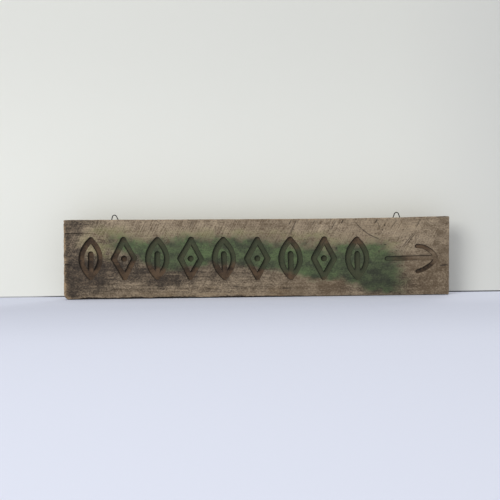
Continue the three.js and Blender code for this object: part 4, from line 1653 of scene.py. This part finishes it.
class ScrewShape:
    """The turned surface of a round-head wood screw, as rings of points about the Y axis."""

    SIDES = 20
    LENGTH, TIP, PLAIN_RUN = 16 * MM, 5 * MM, 5 * MM
    PITCH = 1.3 * MM
    STEPS_PER_TURN = 8
    # The thread's root, height and half width, as shares of the shank and of a pitch
    ROOT_SHARE, THREAD_SHARE, CREST_SHARE = 0.7, 0.32, 0.28
    LEAST_RADIUS = 0.02 * MM
    DOME = 2.4 * MM
    DOME_STEPS = 9
    # The plain shank keeps this far from the thread's end and from the head
    THREAD_RUNOUT, UNDERCUT = 0.4 * MM, 0.1 * MM
    # The head's underside, as a share of its radius, and the heights of its rim and dome
    UNDER_SHARE, RIM_LOW, RIM_HIGH = 0.93, 0.18 * MM, 0.2 * MM

    def __init__(self, shank, head):
        self.shank, self.head = shank, head
        self.turns = [k / self.SIDES for k in range(self.SIDES)]

    def ring(self, y, radii):
        """Points round the axis at a place along it, each with its own radius."""
        angles = [2 * math.pi * turn for turn in self.turns]
        return [(r * math.cos(a), y, r * math.sin(a)) for r, a in zip(radii, angles)]

    def thread_radius(self, y, turn):
        taper = min(1.0, (y + self.LENGTH) / self.TIP) ** 0.7
        phase = (y / self.PITCH + turn) % 1.0
        crest = max(0.0, 1 - abs(phase - 0.5) / self.CREST_SHARE)
        radius = (self.ROOT_SHARE + self.THREAD_SHARE * crest) * self.shank * taper
        return max(radius, self.LEAST_RADIUS)

    def profile(self):
        """The rings of points, from the tip to the top of the head."""
        threaded = self.LENGTH - self.PLAIN_RUN
        count = int(threaded / (self.PITCH / self.STEPS_PER_TURN))
        for i in range(count + 1):
            y = -self.LENGTH + threaded * i / count
            yield self.ring(y, [self.thread_radius(y, turn) for turn in self.turns])
        plain = [
            (self.shank, -self.PLAIN_RUN + self.THREAD_RUNOUT), (self.shank, -self.UNDERCUT),
            (self.UNDER_SHARE * self.head, 0.0), (self.head, self.RIM_LOW),
        ]
        sphere = (self.head ** 2 + self.DOME ** 2) / (2 * self.DOME)
        widest = math.asin(min(1.0, self.head / sphere))
        for i in range(1, self.DOME_STEPS):
            angle = widest * (1 - i / self.DOME_STEPS)
            height = self.DOME - sphere + sphere * math.cos(angle)
            plain.append((sphere * math.sin(angle), max(height, self.RIM_HIGH)))
        for radius, y in plain:
            yield self.ring(y, [radius] * self.SIDES)

    def surface(self):
        """The closed surface's points and faces."""
        rings, around = list(self.profile()), self.SIDES
        points = [point for ring in rings for point in ring]
        tip, top = len(points), len(points) + 1
        last = len(points) - around
        faces = []
        for start in range(0, last, around):
            for k in range(around):
                a, b = start + k, start + (k + 1) % around
                faces.append((a, b, b + around, a + around))
        faces += [(tip, (k + 1) % around, k) for k in range(around)]
        faces += [(top, last + k, last + (k + 1) % around) for k in range(around)]
        return [*points, (0, -self.LENGTH, 0), (0, self.DOME, 0)], faces


def wood_screw(settings):
    """One slotted round-head screw: its head's underside at zero and its point along -Y."""
    shape = ScrewShape(settings.screw_radius, settings.head_radius)
    screw = mesh_object("screw", *shape.surface(), None)
    turn_outwards(screw.data)
    cutter = new_object("slot", bpy.data.meshes.new("slot"))
    work = bmesh.new()
    bmesh.ops.create_cube(work, size=1.0)
    size = Matrix.Diagonal((3 * settings.head_radius, 2 * SLOT_DEPTH, SLOT_WIDTH, 1.0))
    work.transform(Matrix.Translation((0, shape.DOME, 0)) @ size)
    work.to_mesh(cutter.data)
    work.free()
    cut = screw.modifiers.new("Slot", "BOOLEAN")
    cut.object = cutter
    cut.solver = "EXACT"
    made = plain_mesh(screw, "screw")
    bpy.data.objects.remove(cutter)
    smooth_but_sharp(made, SCREW_SHARP_ANGLE)
    return made


def screw_tree(screw):
    """Geometry nodes that drive one screw at each point, with its own turn."""
    inputs = {"Places": "Geometry", "Size": "Float", "Material": "Material"}
    g = GeometryTree("seated screws", inputs, "Screws")
    source = g.add("ObjectInfo", screw).outputs["Geometry"]
    turn = g.add("InputNamedAttribute", "turn", settings={"data_type": "FLOAT_VECTOR"})
    placed = g.add(
        "InstanceOnPoints", Points=g.given["Places"], Instance=source,
        Rotation=turn.outputs["Attribute"], Scale=g.given["Size"],
    )
    return g.finish(placed.outputs["Instances"])


class SIGN_OT_build_screws(bpy.types.Operator):
    """Drive the four round-head screws"""

    bl_idname = "sign.build_screws"
    bl_label = "Screws"

    SLOT_TURNS = (25, -50, 10, 70)

    def execute(self, context):
        settings = context.scene.sign_hangers
        material = aged_steel("aged screw steel", context.scene.sign_colours, "screw", 0.38, 0.04)
        seat = LEAF_SEAM + settings.strap_sheet - settings.wire_radius - FOLD_CLEARANCE + SEAT_GAP
        places, turns, names = [], [], []
        for side in ("left", "right"):
            hanger = joint_frame(side)
            for level, drop in SCREW_DROPS.items():
                spin = Matrix.Rotation(math.radians(self.SLOT_TURNS[len(names)]), 4, "Y")
                turned = hanger @ Matrix.Translation((0, seat, -drop)) @ spin
                places.append(turned.translation)
                turns += turned.to_euler()
                names.append(f"{side}_{level}_screw")
        carrier = mesh_object("screw places", places, [], None)
        attribute = carrier.data.attributes.new("turn", "FLOAT_VECTOR", "POINT")
        attribute.data.foreach_set("vector", turns)
        screw = wood_screw(settings)
        values = {"Size": 1.0, "Material": material}
        screws = grown(carrier, screw_tree(screw), "hanger_screws", values)
        bpy.data.objects.remove(screw)
        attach(screws, "board")
        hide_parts(*names)
        return {"FINISHED"}


# Stage

class SIGN_OT_build_stage(bpy.types.Operator):
    """Lay the floor, stand the wall and set the lamps and the camera"""

    bl_idname = "sign.build_stage"
    bl_label = "Studio and camera"

    # How far the wall stands behind the plank's front at its left and right end, in metres
    WALL_LEFT, WALL_RIGHT = 0.100, 0.088
    FLOOR_REACH = 6.0
    WALL_HEIGHT = 4.0
    JOINT_HEIGHT, JOINT_DEPTH = 0.0032, 0.004
    # Each lamp's name, place, aim, width and the setting for its power
    LAMPS = (
        ("key lamp", (-2.7, -4.4, 2.3), (0, 0, 0.1), 3.2, "key_power"),
        ("ceiling lamp", (-0.2, -1.4, 3.4), (0, -0.6, 0), 2.0, "ceiling_power"),
        ("fill lamp", (1.2, 2.6, 1.8), (0, 0, 0.1), 1.6, "fill_power"),
    )
    SKY_COLOUR = (0.97, 0.98, 1.0, 1.0)
    # What the camera looks at, how far over that it stands, and its roll in degrees
    CAMERA_TARGET = Vector((-0.0156, FRONT, 0.1198))
    CAMERA_RISE = 0.112
    CAMERA_ROLL = -0.79

    def execute(self, context):
        stage = context.scene.sign_stage
        self.lay_floor(stage)
        self.stand_wall(stage)
        self.set_lamps(stage)
        self.set_world(stage)
        self.set_camera(context, stage)
        context.scene.view_settings.view_transform = "Standard"
        return {"FINISHED"}

    def lay_floor(self, stage):
        reach = self.FLOOR_REACH
        corners = [(-reach, -reach, 0), (reach, -reach, 0), (reach, reach, 0), (-reach, reach, 0)]
        floor = mesh_object("floor", corners, [(0, 1, 2, 3)], pale_floor(stage))

    def stand_wall(self, stage):
        slope = (self.WALL_RIGHT - self.WALL_LEFT) / LENGTH
        reach = self.FLOOR_REACH
        panels = (
            ("wall", self.JOINT_HEIGHT, self.WALL_HEIGHT, 0.0, painted_wall(stage)),
            ("wall_joint", 0.0, 2 * self.JOINT_HEIGHT, self.JOINT_DEPTH, wall_gap(stage)),
        )
        for name, low, high, behind, material in panels:
            left, right = (
                (x, FRONT + self.WALL_LEFT + slope * (x - LEFT) + behind) for x in (-reach, reach)
            )
            corners = [(*left, low), (*right, low), (*right, high), (*left, high)]
            panel = mesh_object(name, corners, [(0, 1, 2, 3)], material)
            panel.visible_shadow = False
            panel.visible_diffuse = False
            panel.visible_glossy = False

    def set_lamps(self, stage):
        for name, place, aim, size, power in self.LAMPS:
            lamp = bpy.data.lights.new(name, "AREA")
            lamp.energy = getattr(stage, power)
            lamp.shape = "DISK"
            lamp.size = size
            obj = new_object(name, lamp)
            obj.location = place
            obj.rotation_euler = (Vector(aim) - Vector(place)).to_track_quat("-Z", "Y").to_euler()

    def set_world(self, stage):
        """Even light on the sign, while the camera and reflections see the wall's colour."""
        world = bpy.data.worlds.new("even light")
        bpy.context.scene.world = world
        world.use_nodes = True
        w = NodeTree(world.node_tree)
        even = w.add("Background", self.SKY_COLOUR, stage.sky).outputs[0]
        seen = w.add("Background", linear(stage.wall)).outputs[0]
        path = w.add("LightPath").outputs
        direct = w.calculate("MAXIMUM", path["Is Camera Ray"], path["Is Glossy Ray"])
        either = w.calculate("MAXIMUM", direct, path["Is Transmission Ray"])
        w.add("OutputWorld", w.add("MixShader", either, even, seen).outputs[0])

    def set_camera(self, context, stage):
        camera = bpy.data.cameras.new("camera")
        camera.lens = stage.lens
        obj = new_object("camera", camera)
        obj.location = self.CAMERA_TARGET + Vector((0, -stage.distance, self.CAMERA_RISE))
        aim = (self.CAMERA_TARGET - obj.location).to_track_quat("-Z", "Y").to_matrix().to_4x4()
        roll = Matrix.Rotation(math.radians(self.CAMERA_ROLL), 4, "Z")
        obj.matrix_world = Matrix.Translation(obj.location) @ aim @ roll
        context.scene.camera = obj


class SIGN_PT_panel(bpy.types.Panel):
    """Lists the sign's settings and the buttons that build it"""

    bl_idname = "SIGN_PT_panel"
    bl_label = "Carved plank sign"
    bl_space_type = "VIEW_3D"
    bl_region_type = "UI"
    bl_category = "Sign"

    def draw(self, context):
        scene = context.scene
        for group in (scene.sign_plank, scene.sign_hangers, scene.sign_colours, scene.sign_stage):
            box = self.layout.box()
            for name in group.bl_rna.properties.keys():
                if name not in {"rna_type", "name"}:
                    box.prop(group, name)
        for operator in OPERATORS:
            self.layout.operator(operator.bl_idname)


SETTINGS = {
    "sign_plank": SignPlankSettings,
    "sign_hangers": SignHangerSettings,
    "sign_colours": SignColourSettings,
    "sign_stage": SignStageSettings,
}
OPERATORS = (
    SIGN_OT_build_plank,
    SIGN_OT_build_straps,
    SIGN_OT_build_rings,
    SIGN_OT_build_screws,
    SIGN_OT_build_stage,
)


def register():
    for cls in (*SETTINGS.values(), *OPERATORS, SIGN_PT_panel):
        bpy.utils.register_class(cls)
    for name, cls in SETTINGS.items():
        setattr(bpy.types.Scene, name, PointerProperty(type=cls))


def unregister():
    for name in SETTINGS:
        delattr(bpy.types.Scene, name)
    for cls in reversed((*SETTINGS.values(), *OPERATORS, SIGN_PT_panel)):
        bpy.utils.unregister_class(cls)


def main():
    register()
    bpy.ops.sign.build_stage()
    bpy.ops.sign.build_plank()
    bpy.ops.sign.build_straps()
    bpy.ops.sign.build_rings()
    bpy.ops.sign.build_screws()


if __name__ == "__main__":
    main()
